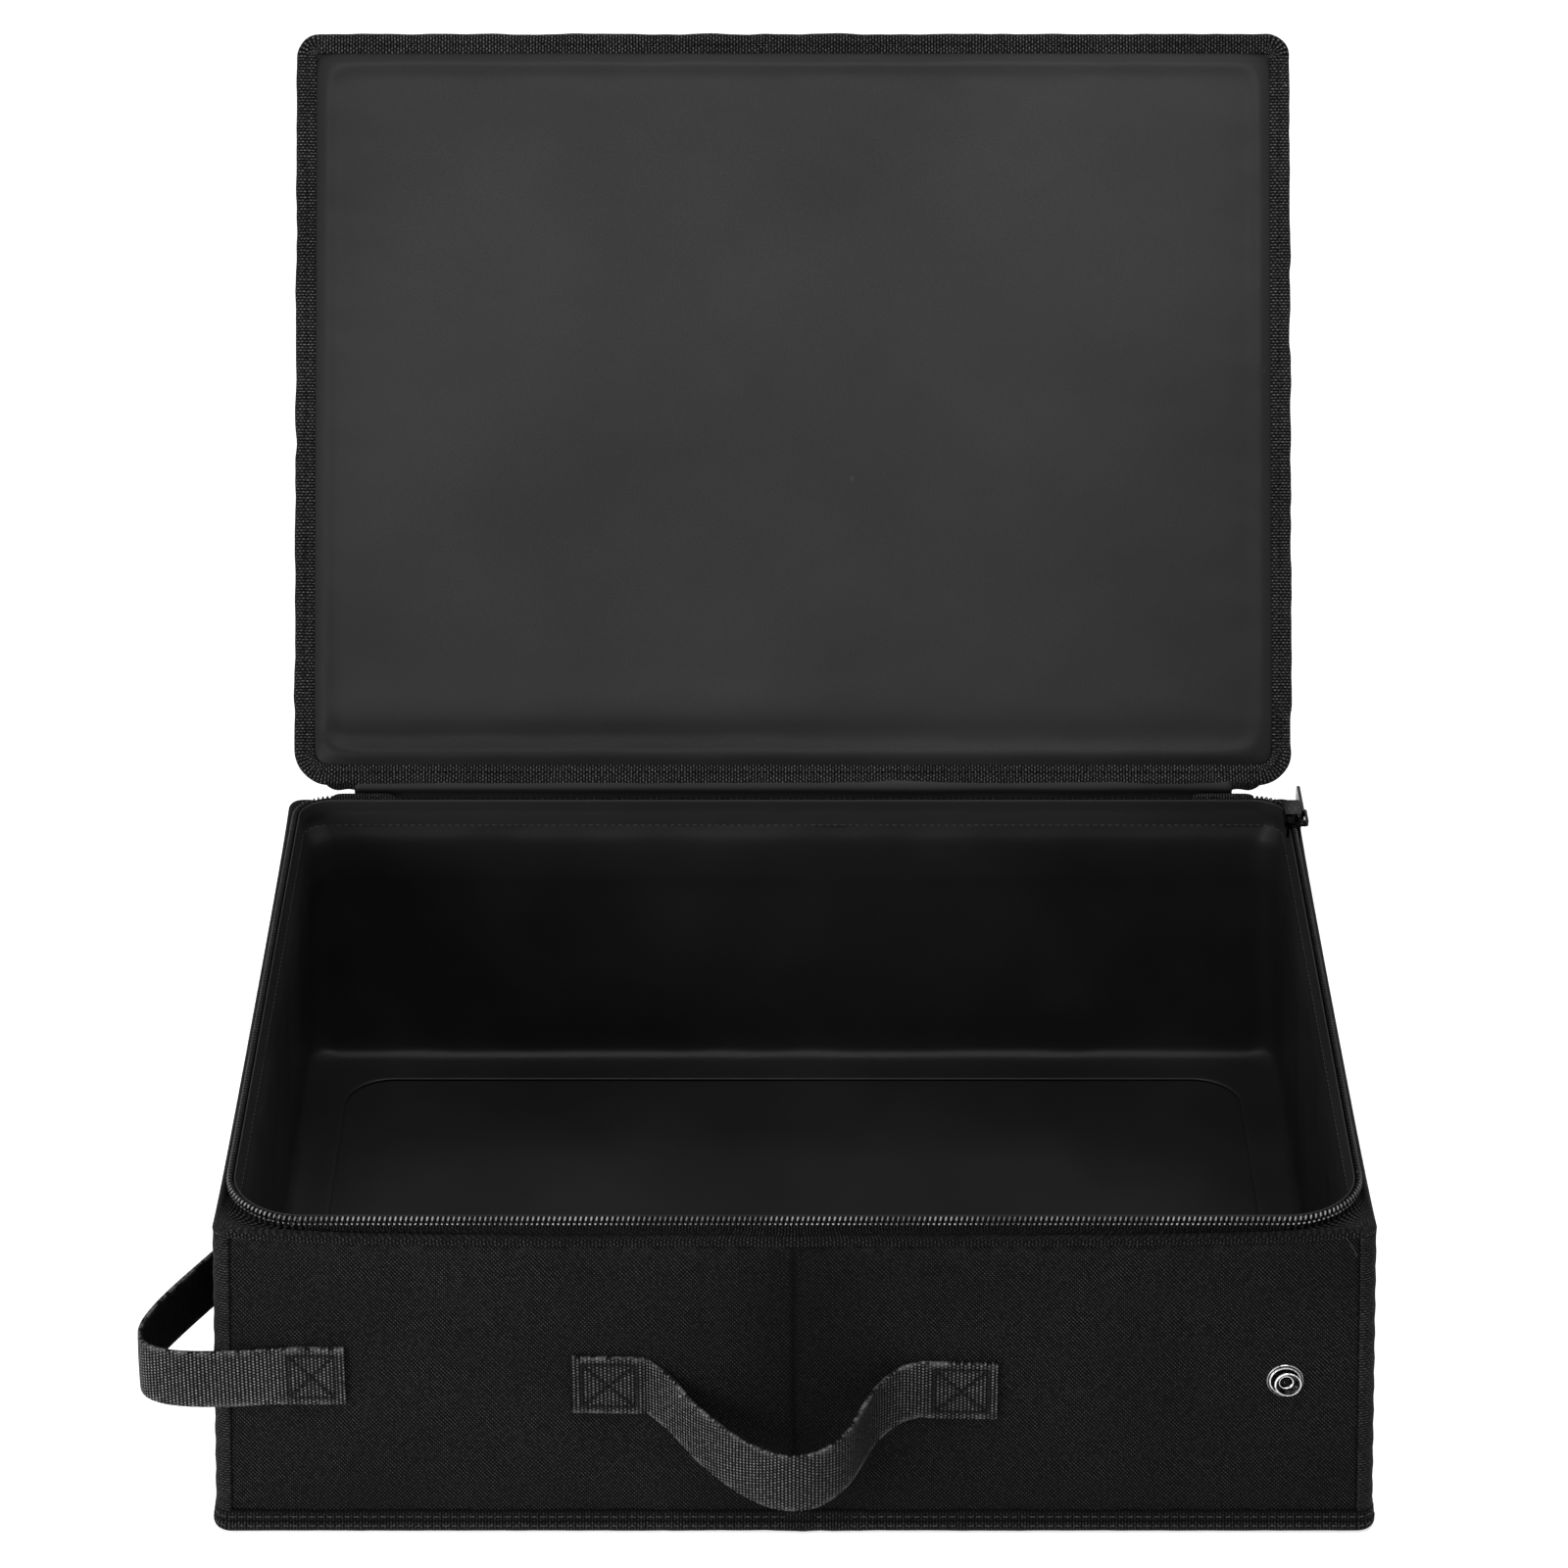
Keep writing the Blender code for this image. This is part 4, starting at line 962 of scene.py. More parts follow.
def build_liner(sizes):
    """The liner: side cloth that hangs in soft folds and turns in over the floor, and the floor cloth."""
    rows = []
    for z, inset, loose in (
        (WALL_TOP - 0.0008, 0.0, 0.0), (WALL_TOP - 0.004, 0.0012, 0.2), (WALL_TOP - 0.010, 0.0027, 0.6),
        (0.098, 0.0026, 1.0), (0.085, 0.0016, 1.0), (0.060, 0.0012, 1.0), (0.030, 0.0012, 0.8),
        (0.013, 0.0014, 0.5), (0.0078, 0.0040, 0.2), (0.0060, 0.0095, 0.0), (0.0057, 0.0200, 0.0),
    ):
        loop = wall_loop(z, LINER_INSET + inset, LINER_RADIUS + inset * 0.5, side=110, arc=14)
        gap_x, gap_y = RIM_X - np.abs(loop[:, 0]), RIM_Y - np.abs(loop[:, 1])
        fold = np.clip(ripple_round(loop, 0.055, 21, z * 0.6) + 0.7, 0, 2) * sizes.fold * loose
        pull = fold + np.exp(-np.maximum(gap_x, gap_y) / 0.02) * 0.0012 * loose
        inwards = -unit(loop * np.stack([gap_x < 0.03, gap_y < 0.03], -1))
        rows.append(at_height(loop + inwards * pull[:, None], z))
    item = shell("liner_sides", through(rows, 70)[:, ::-1], LINER_THICK)
    finish_off(item, "liner", "box", "coated_liner", "waterproof_liner")

    x, y = np.meshgrid(np.linspace(-1, 1, 111), np.linspace(-1, 1, 87))
    lift = 0.0004 * (ripple(x * 0.19, y * 0.14, 0.06, 8) + 1) * np.clip((1 - x**8) * (1 - y**8), 0, 1)
    points = np.stack([x * (RIM_X - 0.0075), y * (RIM_Y - 0.0075), FLOOR_TOP + lift], -1)
    item = shell("liner_floor", points, LINER_THICK, closed=False)
    finish_off(item, "liner", "box", "coated_liner")


# Lid.


def slider_room(loop):
    """From 0 to 1 where the slider holds the lid's tape once the lid is shut: a bell on the right side."""
    low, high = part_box("zip_slider")
    from_slider = loop[:, 1] - (low[1] + high[1]) / 2
    return np.exp(-((from_slider / 0.0095) ** 6)) * (loop[:, 0] > 0)


def build_lid_border():
    """The zip's tape round the lid: a flat ring of rows with a groove where it is sewn down."""
    rows = []
    for offset, drop in (
        (-0.0058, 0.0002), (-0.0053, 0.0006), (-0.0044, 0.0008), (-0.0034, 0.0008), (-0.0026, 0.0000),
        (-0.0018, 0.0009), (-0.0004, 0.0010), (0.0009, 0.0006), (0.0014, -0.0002),
    ):
        loop = zip_loop(offset, side=150, arc=16, lid=True)
        wave = ripple_round(loop, 0.035, 31)
        outer = np.clip((offset + 0.0050) / 0.0064, 0, 1)
        push = (wave * 0.00040 + ripple_round(loop, 0.008, 37) * 0.00018) * outer
        held = slider_room(loop)
        loop = loop + unit(loop) * (push * (1 - held))[:, None]
        z = LID_TAPE_Z - 0.0012 - drop + wave * 0.0003 * outer
        rows.append(at_height(loop, z + (LID_TAPE_Z - z) * held * (offset > -0.0050)))
    points = opened(through(rows, 33))
    share = np.linspace(0, 1, 33)
    # Painted shade in the groove where the tape is sewn down.
    fold = 0.95 * bell(share, 0.5, 0.085)[:, None]
    item = shell("lid_border_tape", points[::-1], TAPE_THICK, edge=share[::-1] ** 14, fold=fold)
    finish_off(item, "tape", "lid", "zip_tape", "zip_tape_lid")
    loop = zip_loop(-0.0026, side=150, arc=16, lid=True)
    path = opened(seam_round(loop, LID_TAPE_Z - 0.0020 + 0.0016 * slider_room(loop))[0])
    facing = opened(HINGE + np.array([0.0, 0.0, -1.0])) - HINGE
    thread = stitches("lid_border_stitches", [(path, facing)], spacing=0.0028, radius=0.00026)
    finish_off(thread, "thread", "lid", "binding_tape")


def build_lid_lining(sizes):
    """The padded lining: a pillow that rises quickly from its sewn edge and is flat in the middle.

    Its height is one less a decay with the distance from the edge, with a ridge a little way in,
    a sag above the hinge edge that is deepest on the left, and slow waves. The back is the same
    grid laid flat on the board.
    """
    half_x, half_y = ZIP_X - LID_EDGE + 0.0016, ZIP_Y - LID_EDGE + 0.0016
    even = np.linspace(-1, 1, 221), np.linspace(-1, 1, 201)
    s, t = (np.sin(k * math.pi / 2) * 0.6 + k * 0.4 for k in even)
    x, y = np.meshgrid(s * half_x, t * half_y)
    gap_x, gap_y, above_hinge = half_x - np.abs(x), half_y - np.abs(y), half_y - y
    near = np.maximum(-0.004 * np.log(np.exp(-gap_x / 0.004) + np.exp(-gap_y / 0.004)), 0)
    bed = 1 - np.exp(-near / 0.0030)
    ridge, hollow = bell(near, 0.0060, 0.0032), bell(near, 0.0110, 0.0045)
    by_hinge = (0.35 + 0.65 / (1 + np.exp(x / 0.03))) * (1 - np.exp(-gap_x / 0.012))
    sag = (bell(above_hinge, 0.0150, 0.0045) - 0.4 * bell(above_hinge, 0.0270, 0.0080)) * by_hinge
    creases = ripple(x, y * 2.2, 0.05, 43) * np.exp(-near / 0.02)
    lift = sizes.pad * (0.75 * bed + 0.36 * ridge - 0.03 * hollow) - 0.0012 * sag
    lift = lift + (0.0004 * ripple(x, y, 0.12, 41) + 0.0003 * creases) * bed
    # Painted shade: darker towards the left and right sides, along the sewn edge, in the sag above the hinge
    # edge (most on the left), and towards the hinge edge, the bottom of the open lid.
    fold = 0.42 * np.exp(-gap_x / 0.020) + 0.30 * np.exp(-near / 0.0015)
    fold = fold + 0.80 * bell(above_hinge, 0.0115, 0.0080) * by_hinge
    fold = np.clip(fold + 0.25 * np.exp(-above_hinge / 0.050), 0, 0.9)
    front = opened(np.stack([x, y, LID_TAPE_Z - 0.0008 - np.clip(lift, 0, 0.006)], -1))
    back = opened(np.stack([x, y, np.full_like(x, LID_BOARD_Z)], -1))
    ring, fold = np.concatenate([front, back[::-1]]), np.concatenate([fold, fold[::-1]])
    place = np.stack([x, y], -1)
    place = np.concatenate([place, place[::-1], place[:1]])
    item = two_sided("lid_lining_pad", ring, place, False, None, fold)
    finish_off(item, "lining", "lid", "coated_liner", "lid_lining")


def build_lid_outside():
    """The lid's cover and the binding folded round its edge."""
    half_x, half_y = ZIP_X - LID_EDGE - 0.0008, ZIP_Y - LID_EDGE - 0.0008
    u, v = np.meshgrid(np.linspace(-1, 1, 141), np.linspace(-1, 1, 111))
    swell = np.clip((1 - u**6) * (1 - v**6), 0, 1)
    z = 0.1390 + swell * (0.0012 + 0.0004 * ripple(u * half_x, v * half_y, 0.1, 51))
    cut = 0.004 * (np.abs(u) ** 30) * (np.abs(v) ** 30)
    points = np.stack([u * half_x - np.sign(u) * cut, v * half_y - np.sign(v) * cut, z], -1)
    item = shell("lid_cover_cloth", opened(points), BINDING_THICK, closed=False)
    finish_off(item, "wall", "lid", "outer_fabric", "lid_cover")
    rows = []
    for inset, z in (
        (0.0052, LID_TOP + 0.0004), (0.0022, LID_TOP + 0.0005), (0.0004, LID_TOP),
        (-0.0002, (LID_TOP + LID_LOW) / 2), (0.0004, LID_LOW + 0.0014), (0.0024, LID_LOW + 0.0008),
    ):
        loop = zip_loop(-LID_EDGE - inset, side=120, arc=10, lid=True)
        rows.append(at_height(loop, z + 0.00015 * ripple_round(loop, 0.012, 57)))
    points = opened(through(rows, 24))[::-1]
    item = shell("lid_edge_binding", points, TAPE_THICK, edge=np.abs(np.linspace(-1, 1, 24)) ** 6)
    finish_off(item, "binding", "lid", "binding_tape", "lid_binding")


def build_hinge():
    """The fabric hinge: one cloth from the rim up to the lid's back edge, with two slack folds."""
    half_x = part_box("hinge_strip_box")[1][0]
    lid_edge = opened(np.array([0.0, ZIP_Y - LID_EDGE + 0.0006, LID_TAPE_Z]))[1:]
    lid_under = opened(np.array([0.0, ZIP_Y - LID_EDGE - 0.0050, LID_TAPE_Z + 0.0014]))[1:]
    y, z = HINGE[1:]
    profile = (
        (RIM_Y - 0.0006, HEM_TOP - 0.0004), (RIM_Y - 0.0002, HEM_TOP + 0.0030), (RIM_Y + 0.0006, z - 0.0035),
        (y - 0.0004, z), (y + 0.0016, z + 0.0030),
        (lid_edge[0] * 0.6 + y * 0.4 - 0.0004, lid_edge[1] * 0.6 + z * 0.4), lid_edge, lid_under,
    )
    x = np.linspace(-half_x, half_x, 161)
    wave = ripple(x, x * 0, 0.09, 61)
    rows = [
        np.stack([x, back + wave * 0.0006 * math.sin(math.pi * k / 7), np.full_like(x, up)], -1)
        for k, (back, up) in enumerate(profile)
    ]
    down = np.linspace(0, 7, 40)
    # Painted shade: the hinge cloth is darkened throughout, and most in its two slack folds.
    fold = np.clip(0.35 + 0.45 * bell(down, 2.4, 0.5) + 0.5 * bell(down, 5.2, 1.0), 0, 0.9)[:, None]
    item = shell("hinge_cloth", through(rows, 40), BINDING_THICK, closed=False, fold=fold)
    finish_off(item, "lining", None, "binding_tape", "hinge_strip_box", "hinge_strip_lid")
    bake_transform(item)

    x = np.linspace(half_x - 0.001, ZIP_X - 0.0115, 24)
    droop = 0.0006 * np.sin(np.linspace(0, 2 * math.pi, 24)) + 0.0022 * np.linspace(0, 1, 24) ** 3
    tail = (
        (y + 0.0002, z - 0.0012, 1.0), (y + 0.0004, z + 0.0008, 0.6), (y + 0.0020, z + 0.0032, 0.0),
        (lid_edge[0] + 0.0004, lid_edge[1], 0.0), (*lid_under, 0.0),
    )
    for name, sign in (("left", -1), ("right", 1)):
        rows = [
            np.stack([x * sign, np.full_like(x, back), up + droop * loose], -1)[::sign]
            for back, up, loose in tail
        ]
        # Painted shade: the tails are darkened evenly.
        cloth = shell(f"zip_tail_{name}", through(rows, 20), 0.0010, closed=False, fold=0.35)
        finish_off(cloth, "binding", "lid", "zip_tape")


# Webbing.


def sewn_lines(start, end, half):
    """The stitched box with its cross: four sides and two diagonals, each as two flat points."""
    a, b, c, d = (start, -half), (end, -half), (end, half), (start, half)
    return [(np.array(p), np.array(q)) for p, q in ((a, b), (b, c), (c, d), (d, a), (a, c), (b, d))]


def groove_depth(along, across, lines):
    """From 0 to 1 near sewn lines: a bell curve of the distance to the nearest of them."""
    place = np.stack([along, across], -1)
    depth = np.zeros_like(along)
    for p, q in lines:
        run = q - p
        share = np.clip(((place - p) @ run) / (run @ run), 0, 1)
        gap = np.linalg.norm(place - p - share[..., None] * run, axis=-1)
        depth = np.maximum(depth, bell(gap, 0, 0.0006))
    return depth


def ribbon(name, path, ups, width, thickness, patches, shade):
    """A webbing band along a path: rows run across its width, cupped, and sunk along the stitching.

    The patches say where each sewn box begins and ends along the band, and the shade how much painted
    shade each step of the path gets. The fold mask is painted shade: in the stitched grooves, by the
    shade, and over the band's whole back.
    """
    out = unit(np.cross(unit(np.gradient(path, axis=0)), ups))
    far = lengths(path)
    w = np.linspace(-1, 1, 41)
    along, across = np.meshgrid(far, w * width / 2)
    lines = []
    for start, end in patches:
        lines += sewn_lines(start, end, width / 2 - SEWN_SIDE)
    groove = groove_depth(along, across, lines)
    cup, sunk, proud = 0.0002, 0.0003, 0.0001
    rise = (1 - w[:, None] ** 2) * cup - sunk * groove + thickness[None] / 2
    points = path[None] + ups[None] * across[..., None] + out[None] * rise[..., None]
    # Painted shade in the stitched grooves and where the shade is set.
    fold = np.clip(0.85 * groove + shade, 0, 1)
    # The whole back of the band is darkened as painted shade.
    item = shell(
        f"{name}_webbing", points, thickness, closed=False, edge=np.abs(w) ** 12, fold=fold, behind=0.9
    )
    finish_off(item, "webbing", "box", "webbing", name)
    runs = []
    for p, q in lines:
        place, aside = (p + (q - p) * np.linspace(0, 1, 40)[:, None]).T
        facing = sample(out, far, place)
        lift = np.interp(place, far, thickness) / 2 + proud
        run = sample(path, far, place) + sample(ups, far, place) * aside[:, None] + facing * lift[:, None]
        runs.append((run, facing))
    thread = stitches(f"{name}_stitches", runs, spacing=0.0024, radius=0.00026)
    finish_off(thread, "black_thread", "box", "webbing")


# How far the handle's loop hangs down and stands out, at even steps from its left end to its right.
HANDLE_LOOP = (
    (0.0, 0.0), (0.0070, 0.0024), (0.0139, 0.0087), (0.0181, 0.0151), (0.0207, 0.0208), (0.0217, 0.0255),
    (0.0204, 0.0286), (0.0180, 0.0280), (0.0120, 0.0240), (0.0048, 0.0110), (0.0010, 0.0034), (0.0, 0.0),
)


def build_handle(sizes):
    """The front handle: sewn flat at both ends, with a loop that hangs down and bows out between."""
    left_end, right_end, patch = -0.0789, 0.0722, 0.0260
    height, slant = 0.0640, 0.0028
    left, right = left_end + patch, right_end - patch
    sewn, loose = 60, 90
    drop, bulge = np.pad(through(HANDLE_LOOP, loose), ((sewn - 1, sewn - 1), (0, 0))).T
    x = np.concatenate(
        [
            np.linspace(left_end, left, sewn)[:-1],
            left + (right - left) * np.linspace(0, 1, loose),
            np.linspace(right, right_end, sewn)[1:],
        ]
    )
    beyond = np.abs(x - (left + right) / 2) - (right - left) / 2
    thick = WEBBING_THICK + SEWN_EXTRA * np.clip(beyond / 0.002 + 0.5, 0, 1)
    z = height - slant * (x - left_end) / (right_end - left_end) - drop
    path = np.stack([x, -(wall_halves(z)[1] + (0.0003 + thick / 2 + bulge)), z], -1)
    ups = np.broadcast_to(unit(np.array([0.0, SLOPE_Y, WALL_TOP])), path.shape)
    # The sewn ends are darker, and the right rise of the loop gets painted shade where it turns away from the
    # lamps.
    shade = 0.30 * (beyond > 0) + 0.75 * bell((x - left) / (right - left), 0.78, 0.11)
    full = lengths(path)[-1]
    patches = ((SEWN_MARGIN, patch - SEWN_MARGIN), (full - patch + SEWN_MARGIN, full - SEWN_MARGIN))
    ribbon("front_handle", path, ups, sizes.webbing_width, thick, patches, shade)


def build_strap(sizes):
    """The corner strap: a smooth loop from the front wall round to the left wall, a cubic curve."""
    height, seat = 0.0675, 0.0016
    half_x, half_y = wall_halves(height)
    front_y, side_x = -(half_y + seat), -(half_x + seat)
    front_gap, front_patch, side_gap, side_patch = 0.0222, 0.0235, 0.0682, 0.0240
    start = np.array([-(half_x - front_gap - front_patch), front_y, height])
    leave = np.array([-(half_x - front_gap), front_y, height])
    reach = np.array([side_x, -(half_y - side_gap), height])
    end = np.array([side_x, -(half_y - side_gap - side_patch), height])
    pull_out = leave + np.array([-0.0750, -0.0026, -0.0060])
    pull_back = reach + np.array([-0.0280, -0.0520, 0.0])
    t, flat = (np.linspace(0, 1, steps)[:, None] for steps in (90, 60))
    loop = leave * (1 - t) ** 3 + pull_out * 3 * t * (1 - t) ** 2 + pull_back * 3 * t**2 * (1 - t)
    loop = loop + reach * t**3
    on_front = (start + (leave - start) * flat)[:-1]
    on_side = (reach + (end - reach) * flat)[1:]
    path = np.concatenate([on_front, loop, on_side])[::-1]
    front_up = unit(np.array([0.0, SLOPE_Y, WALL_TOP]))
    side_up = unit(np.array([SLOPE_X, 0.0, WALL_TOP]))
    turned = np.concatenate([np.zeros(len(on_front)), t[:, 0], np.ones(len(on_side))])[::-1, None]
    ups = front_up * (1 - turned) + side_up * turned
    sewn = np.pad(np.zeros(len(t)), len(on_front), constant_values=1.0)
    softened = np.convolve(np.pad(sewn, 3, mode="edge"), np.ones(7) / 7, mode="valid")
    thick = WEBBING_THICK + SEWN_EXTRA * softened
    full = lengths(path)[-1]
    patches = ((SEWN_MARGIN, 0.0205), (full - 0.0200, full - SEWN_MARGIN))
    ribbon("corner_strap", path, ups, sizes.webbing_width, thick, patches, 0.15 * sewn)


# Fasteners.


def build_snap():
    """The snap's cap: a profile of radius, height and painted highlight turned once about its own axis."""
    low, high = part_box("snap_stud")
    centre = np.array([(low[0] + high[0]) / 2, high[1], (low[2] + high[2]) / 2])
    up = unit(np.array([0.0, SLOPE_Y, WALL_TOP]))
    across = np.array([1.0, 0.0, 0.0])
    out = np.cross(across, up)
    # Each row is a radius, a height and how much painted highlight the ring there gets.
    profile = np.array(
        [
            (0.0010, 0.0002, 0), (0.0043, 0.0002, 0), (0.0064, 0.0002, 0), (0.0066, 0.0005, 0.8),
            (0.0063, 0.0009, 0.2), (0.0059, 0.0008, 0), (0.0056, 0.0010, 0.3), (0.0053, 0.0012, 1),
            (0.0050, 0.0009, 0), (0.0045, 0.0009, 0), (0.0045, 0.0020, 0), (0.0048, 0.0029, 0.5),
            (0.0046, 0.0033, 1), (0.0042, 0.0032, 0.1), (0.0038, 0.0027, 0), (0.0033, 0.0019, 0),
            (0.0029, 0.0016, 0), (0.0025, 0.0019, 1), (0.0022, 0.0016, 0.2), (0.0018, 0.0009, 0),
            (0.0010, 0.0007, 0), (0.0010, 0.0002, 0),
        ]
    )
    radius, height, ring_glint = through(profile, 106)[:-1].T[..., None]
    angle = np.linspace(0, 2 * math.pi, 72, endpoint=False)[:, None]
    ring = across * np.cos(angle) + np.cross(out, across) * np.sin(angle)
    lean = np.clip((height - 0.001) / 0.0028, 0, 1)[..., None] * (across * 0.0011 - up * 0.0002)
    points = centre + ring * radius[..., None] + out * height[..., None] + lean
    rows, cols = points.shape[:2]
    place = np.stack(np.meshgrid(np.arange(cols + 1) * 0.0005, np.arange(rows + 1) * 0.0002), -1)
    faces, uv = grid_faces(rows, cols, (True, True), ALONG_FIRST, place)
    item = add_mesh("snap_cap", points, faces, uv, edge=np.repeat(np.clip(ring_glint, 0, 1), cols, axis=1))
    finish_off(item, "metal", "box", "black_metal", "snap_stud")


def build_loose_thread():
    """One stray thread end at the right front corner of the rim."""
    t = np.linspace(0, 1, 24)
    x = RIM_X - 0.0105 + 0.0045 * t
    y = -RIM_Y - 0.0012 - 0.0012 * np.sin(math.pi * t)
    z = WALL_TOP + 0.0036 - 0.0080 * t**1.5
    item = tube("loose_thread", np.stack([x, y, z], -1), 0.00011, np.array([0.0, 1.0, 0.2]))
    finish_off(item, "thread", "box", "binding_tape")


def finish_nodes():
    """Better finishes for the CAD solids that stay: boards, rivet, slider and pull."""
    for name, node in frame["nodes"].items():
        if node.hide_render:
            continue
        key = "board" if "board" in name else "metal"
        for slot in node.material_slots:
            slot.material = finish_named(key)


def seen_white(w):
    """One for the rays that show the white background: from the camera, off gloss, through glass."""
    path = w.node("ShaderNodeLightPath").outputs
    seen = w.math("MAXIMUM", path["Is Camera Ray"], path["Is Glossy Ray"])
    return w.math("MAXIMUM", seen, path["Is Transmission Ray"])


def build_stage(view):
    """A pale floor that runs up into a backdrop, soft lamps, the sky and the camera."""
    t = np.linspace(0, 1, 60)[:, None]
    turn = np.clip((t - 0.6) / 0.4, 0, 1) * math.pi / 2
    depth = np.where(t < 0.6, -6.0 + t / 0.6 * 8.4, 2.4 + 1.2 * np.sin(turn))
    height = 1.2 * (1 - np.cos(turn)) - 0.0004
    points = np.stack(np.broadcast_arrays(np.linspace(-9.0, 9.0, 40), depth, height), -1)
    floor = shell("studio_floor", points, 0.01, closed=False)
    finish, w, shader = start_material("pale floor")
    colour = w.mix(w.noise(60.0), tint(view.floor_colour, 0.985), tint(view.floor_colour))
    paint(w, shader, colour, 0.9, 0.0)
    glow = w.fill(w.node("ShaderNodeEmission"), strength=w.math("MULTIPLY", seen_white(w), view.floor_glow))
    blend = w.node("ShaderNodeAddShader")
    w.feed(blend.inputs[0], shader.outputs[0])
    w.feed(blend.inputs[1], glow.outputs[0])
    w.fill(finish.node_tree.nodes["Material Output"], surface=blend.outputs[0])
    floor.data.materials.append(finish)

    scene = bpy.context.scene
    scene.world = bpy.data.worlds.new("studio sky")
    scene.world.use_nodes = True
    w = Wiring(scene.world.node_tree)
    sky = scene.world.node_tree.nodes["Background"]
    w.fill(sky, color=(1.0, 1.0, 1.0, 1.0), strength=w.spread(seen_white(w), view.sky, 1.0))

    for name, place, size, energy in (
        ("key_lamp", (0.0, -0.5, 1.3), (1.1, 0.4), view.key),
        ("fill_lamp", (-0.72, -0.78, 0.32), (0.5, 0.4), view.fill),
        ("back_lamp", (0.3, 1.3, 2.2), (2.0, 0.7), view.back),
    ):
        lamp = bpy.data.lights.new(name, "AREA")
        lamp.shape = "RECTANGLE"
        lamp.size, lamp.size_y = size
        lamp.energy = energy
        item = bpy.data.objects.new(name, lamp)
        scene.collection.objects.link(item)
        aim = np.array([0.0, 0.0, 0.12]) - np.array(place)
        item.location = place
        item.rotation_euler = (
            math.atan2(math.hypot(aim[0], aim[1]), -aim[2]), 0.0, math.atan2(-aim[0], aim[1]),
        )

    camera = bpy.data.cameras.new("camera")
    camera.lens = view.lens
    camera.sensor_width = 36.0
    camera.clip_end = 20.0
    item = bpy.data.objects.new("camera", camera)
    item.location = view.camera_place
    item.rotation_euler = (math.radians(90) - view.pitch, 0.0, 0.0)
    scene.collection.objects.link(item)
    scene.camera = item
    scene.view_settings.view_transform = "Standard"


# Sizes and colours that a user would change.


def number_of(name, default, text, **more):
    return FloatProperty(name=name, description=text, default=default, **more)


def length_of(name, default, text):
    return number_of(name, default, text, min=0.0, precision=5, unit="LENGTH")


def colour_of(name, default, text):
    return FloatVectorProperty(
        name=name, description=text, default=default, size=3, min=0.0, max=1.0, subtype="COLOR"
    )


class LitterBoxSizes(bpy.types.PropertyGroup):
    """Sizes of the sewn pieces."""

    belly: length_of("Wall belly", 0.0009, "How far the middle of each wall stands out")
    wave: length_of("Wall waves", 0.0003, "Height of the slight waves in the wall cloth")
    seam_depth: length_of("Seam depth", 0.0012, "How deep the fold down the middle seam is")
    gather: length_of("Band gathers", 0.0003, "Height of the gathers in the base band")
    fold: length_of("Liner folds", 0.0009, "Depth of the soft folds in the liner")
    pad: length_of("Lid padding", 0.0030, "How far the lining stands up from its sewn edge")
    coil_pitch: length_of("Coil pitch", 0.00185, "Distance from one turn of the zip coil to the next")
    webbing_width: length_of("Webbing width", 0.0230, "Width of the handle and the strap")


class LitterBoxColours(bpy.types.PropertyGroup):
    """Base colours of the finishes."""

    # The high-yarn and high-rib colours below are partly painted highlight on the crests of the weave.
    wall_dark: colour_of("Wall, low yarns", (0.0015, 0.0015, 0.0016), "Yarns that lie deep in the wall cloth")
    wall_light: colour_of("Wall, high yarns", (0.060, 0.060, 0.061), "Yarns that stand up in the wall cloth")
    binding_dark: colour_of("Binding, low ribs", (0.0020, 0.0020, 0.0021), "Deep ribs of the binding")
    binding_light: colour_of("Binding, high ribs", (0.055, 0.055, 0.056), "High ribs of the binding")
    tape_dark: colour_of("Tape, low ribs", (0.0022, 0.0022, 0.0023), "Deep ribs of the zip tape")
    tape_light: colour_of("Tape, high ribs", (0.125, 0.125, 0.127), "High ribs of the zip tape")
    webbing_dark: colour_of("Webbing, low ribs", (0.0014, 0.0014, 0.0015), "Deep ribs of the webbing")
    webbing_light: colour_of("Webbing, high ribs", (0.30, 0.30, 0.305), "High ribs of the webbing")
    liner_dark: colour_of("Liner, dark", (0.0085, 0.0085, 0.0087), "Darker patches of the liner")
    liner_light: colour_of("Liner, light", (0.0135, 0.0135, 0.0138), "Lighter patches of the liner")
    lining_dark: colour_of("Lining, dark", (0.019, 0.019, 0.0195), "Darker patches of the lid's lining")
    lining_light: colour_of("Lining, light", (0.027, 0.027, 0.0275), "Lighter patches of the lid's lining")
    # Painted highlight: the light colour of the thread's ply crests.
    thread_light: colour_of("Thread", (0.085, 0.085, 0.087), "Raised plies of the sewing thread")
    coil_dark: colour_of("Coil", (0.003, 0.003, 0.0031), "Nylon of the zip coil")
    # Painted highlight: the pale colour laid on the heads of the coil's turns.
    coil_glint: colour_of("Coil heads", (0.55, 0.55, 0.56), "Rubbed heads of the zip coil")
    metal_dark: colour_of("Metal", (0.006, 0.006, 0.0063), "Lacquer of the snap and the slider")
    metal_light: colour_of("Metal, scuffed", (0.20, 0.20, 0.205), "Scuffs on the snap and the slider")
    # Painted highlight: the pale colour laid along the snap's raised rings.
    metal_ring_glint: colour_of("Metal, bare", (0.90, 0.90, 0.90), "Bare metal along the snap's rings")
    board_dark: colour_of("Board, dark", (0.22, 0.20, 0.18), "Dark fibres of the boards")
    board_light: colour_of("Board, light", (0.50, 0.47, 0.43), "Light fibres of the boards")


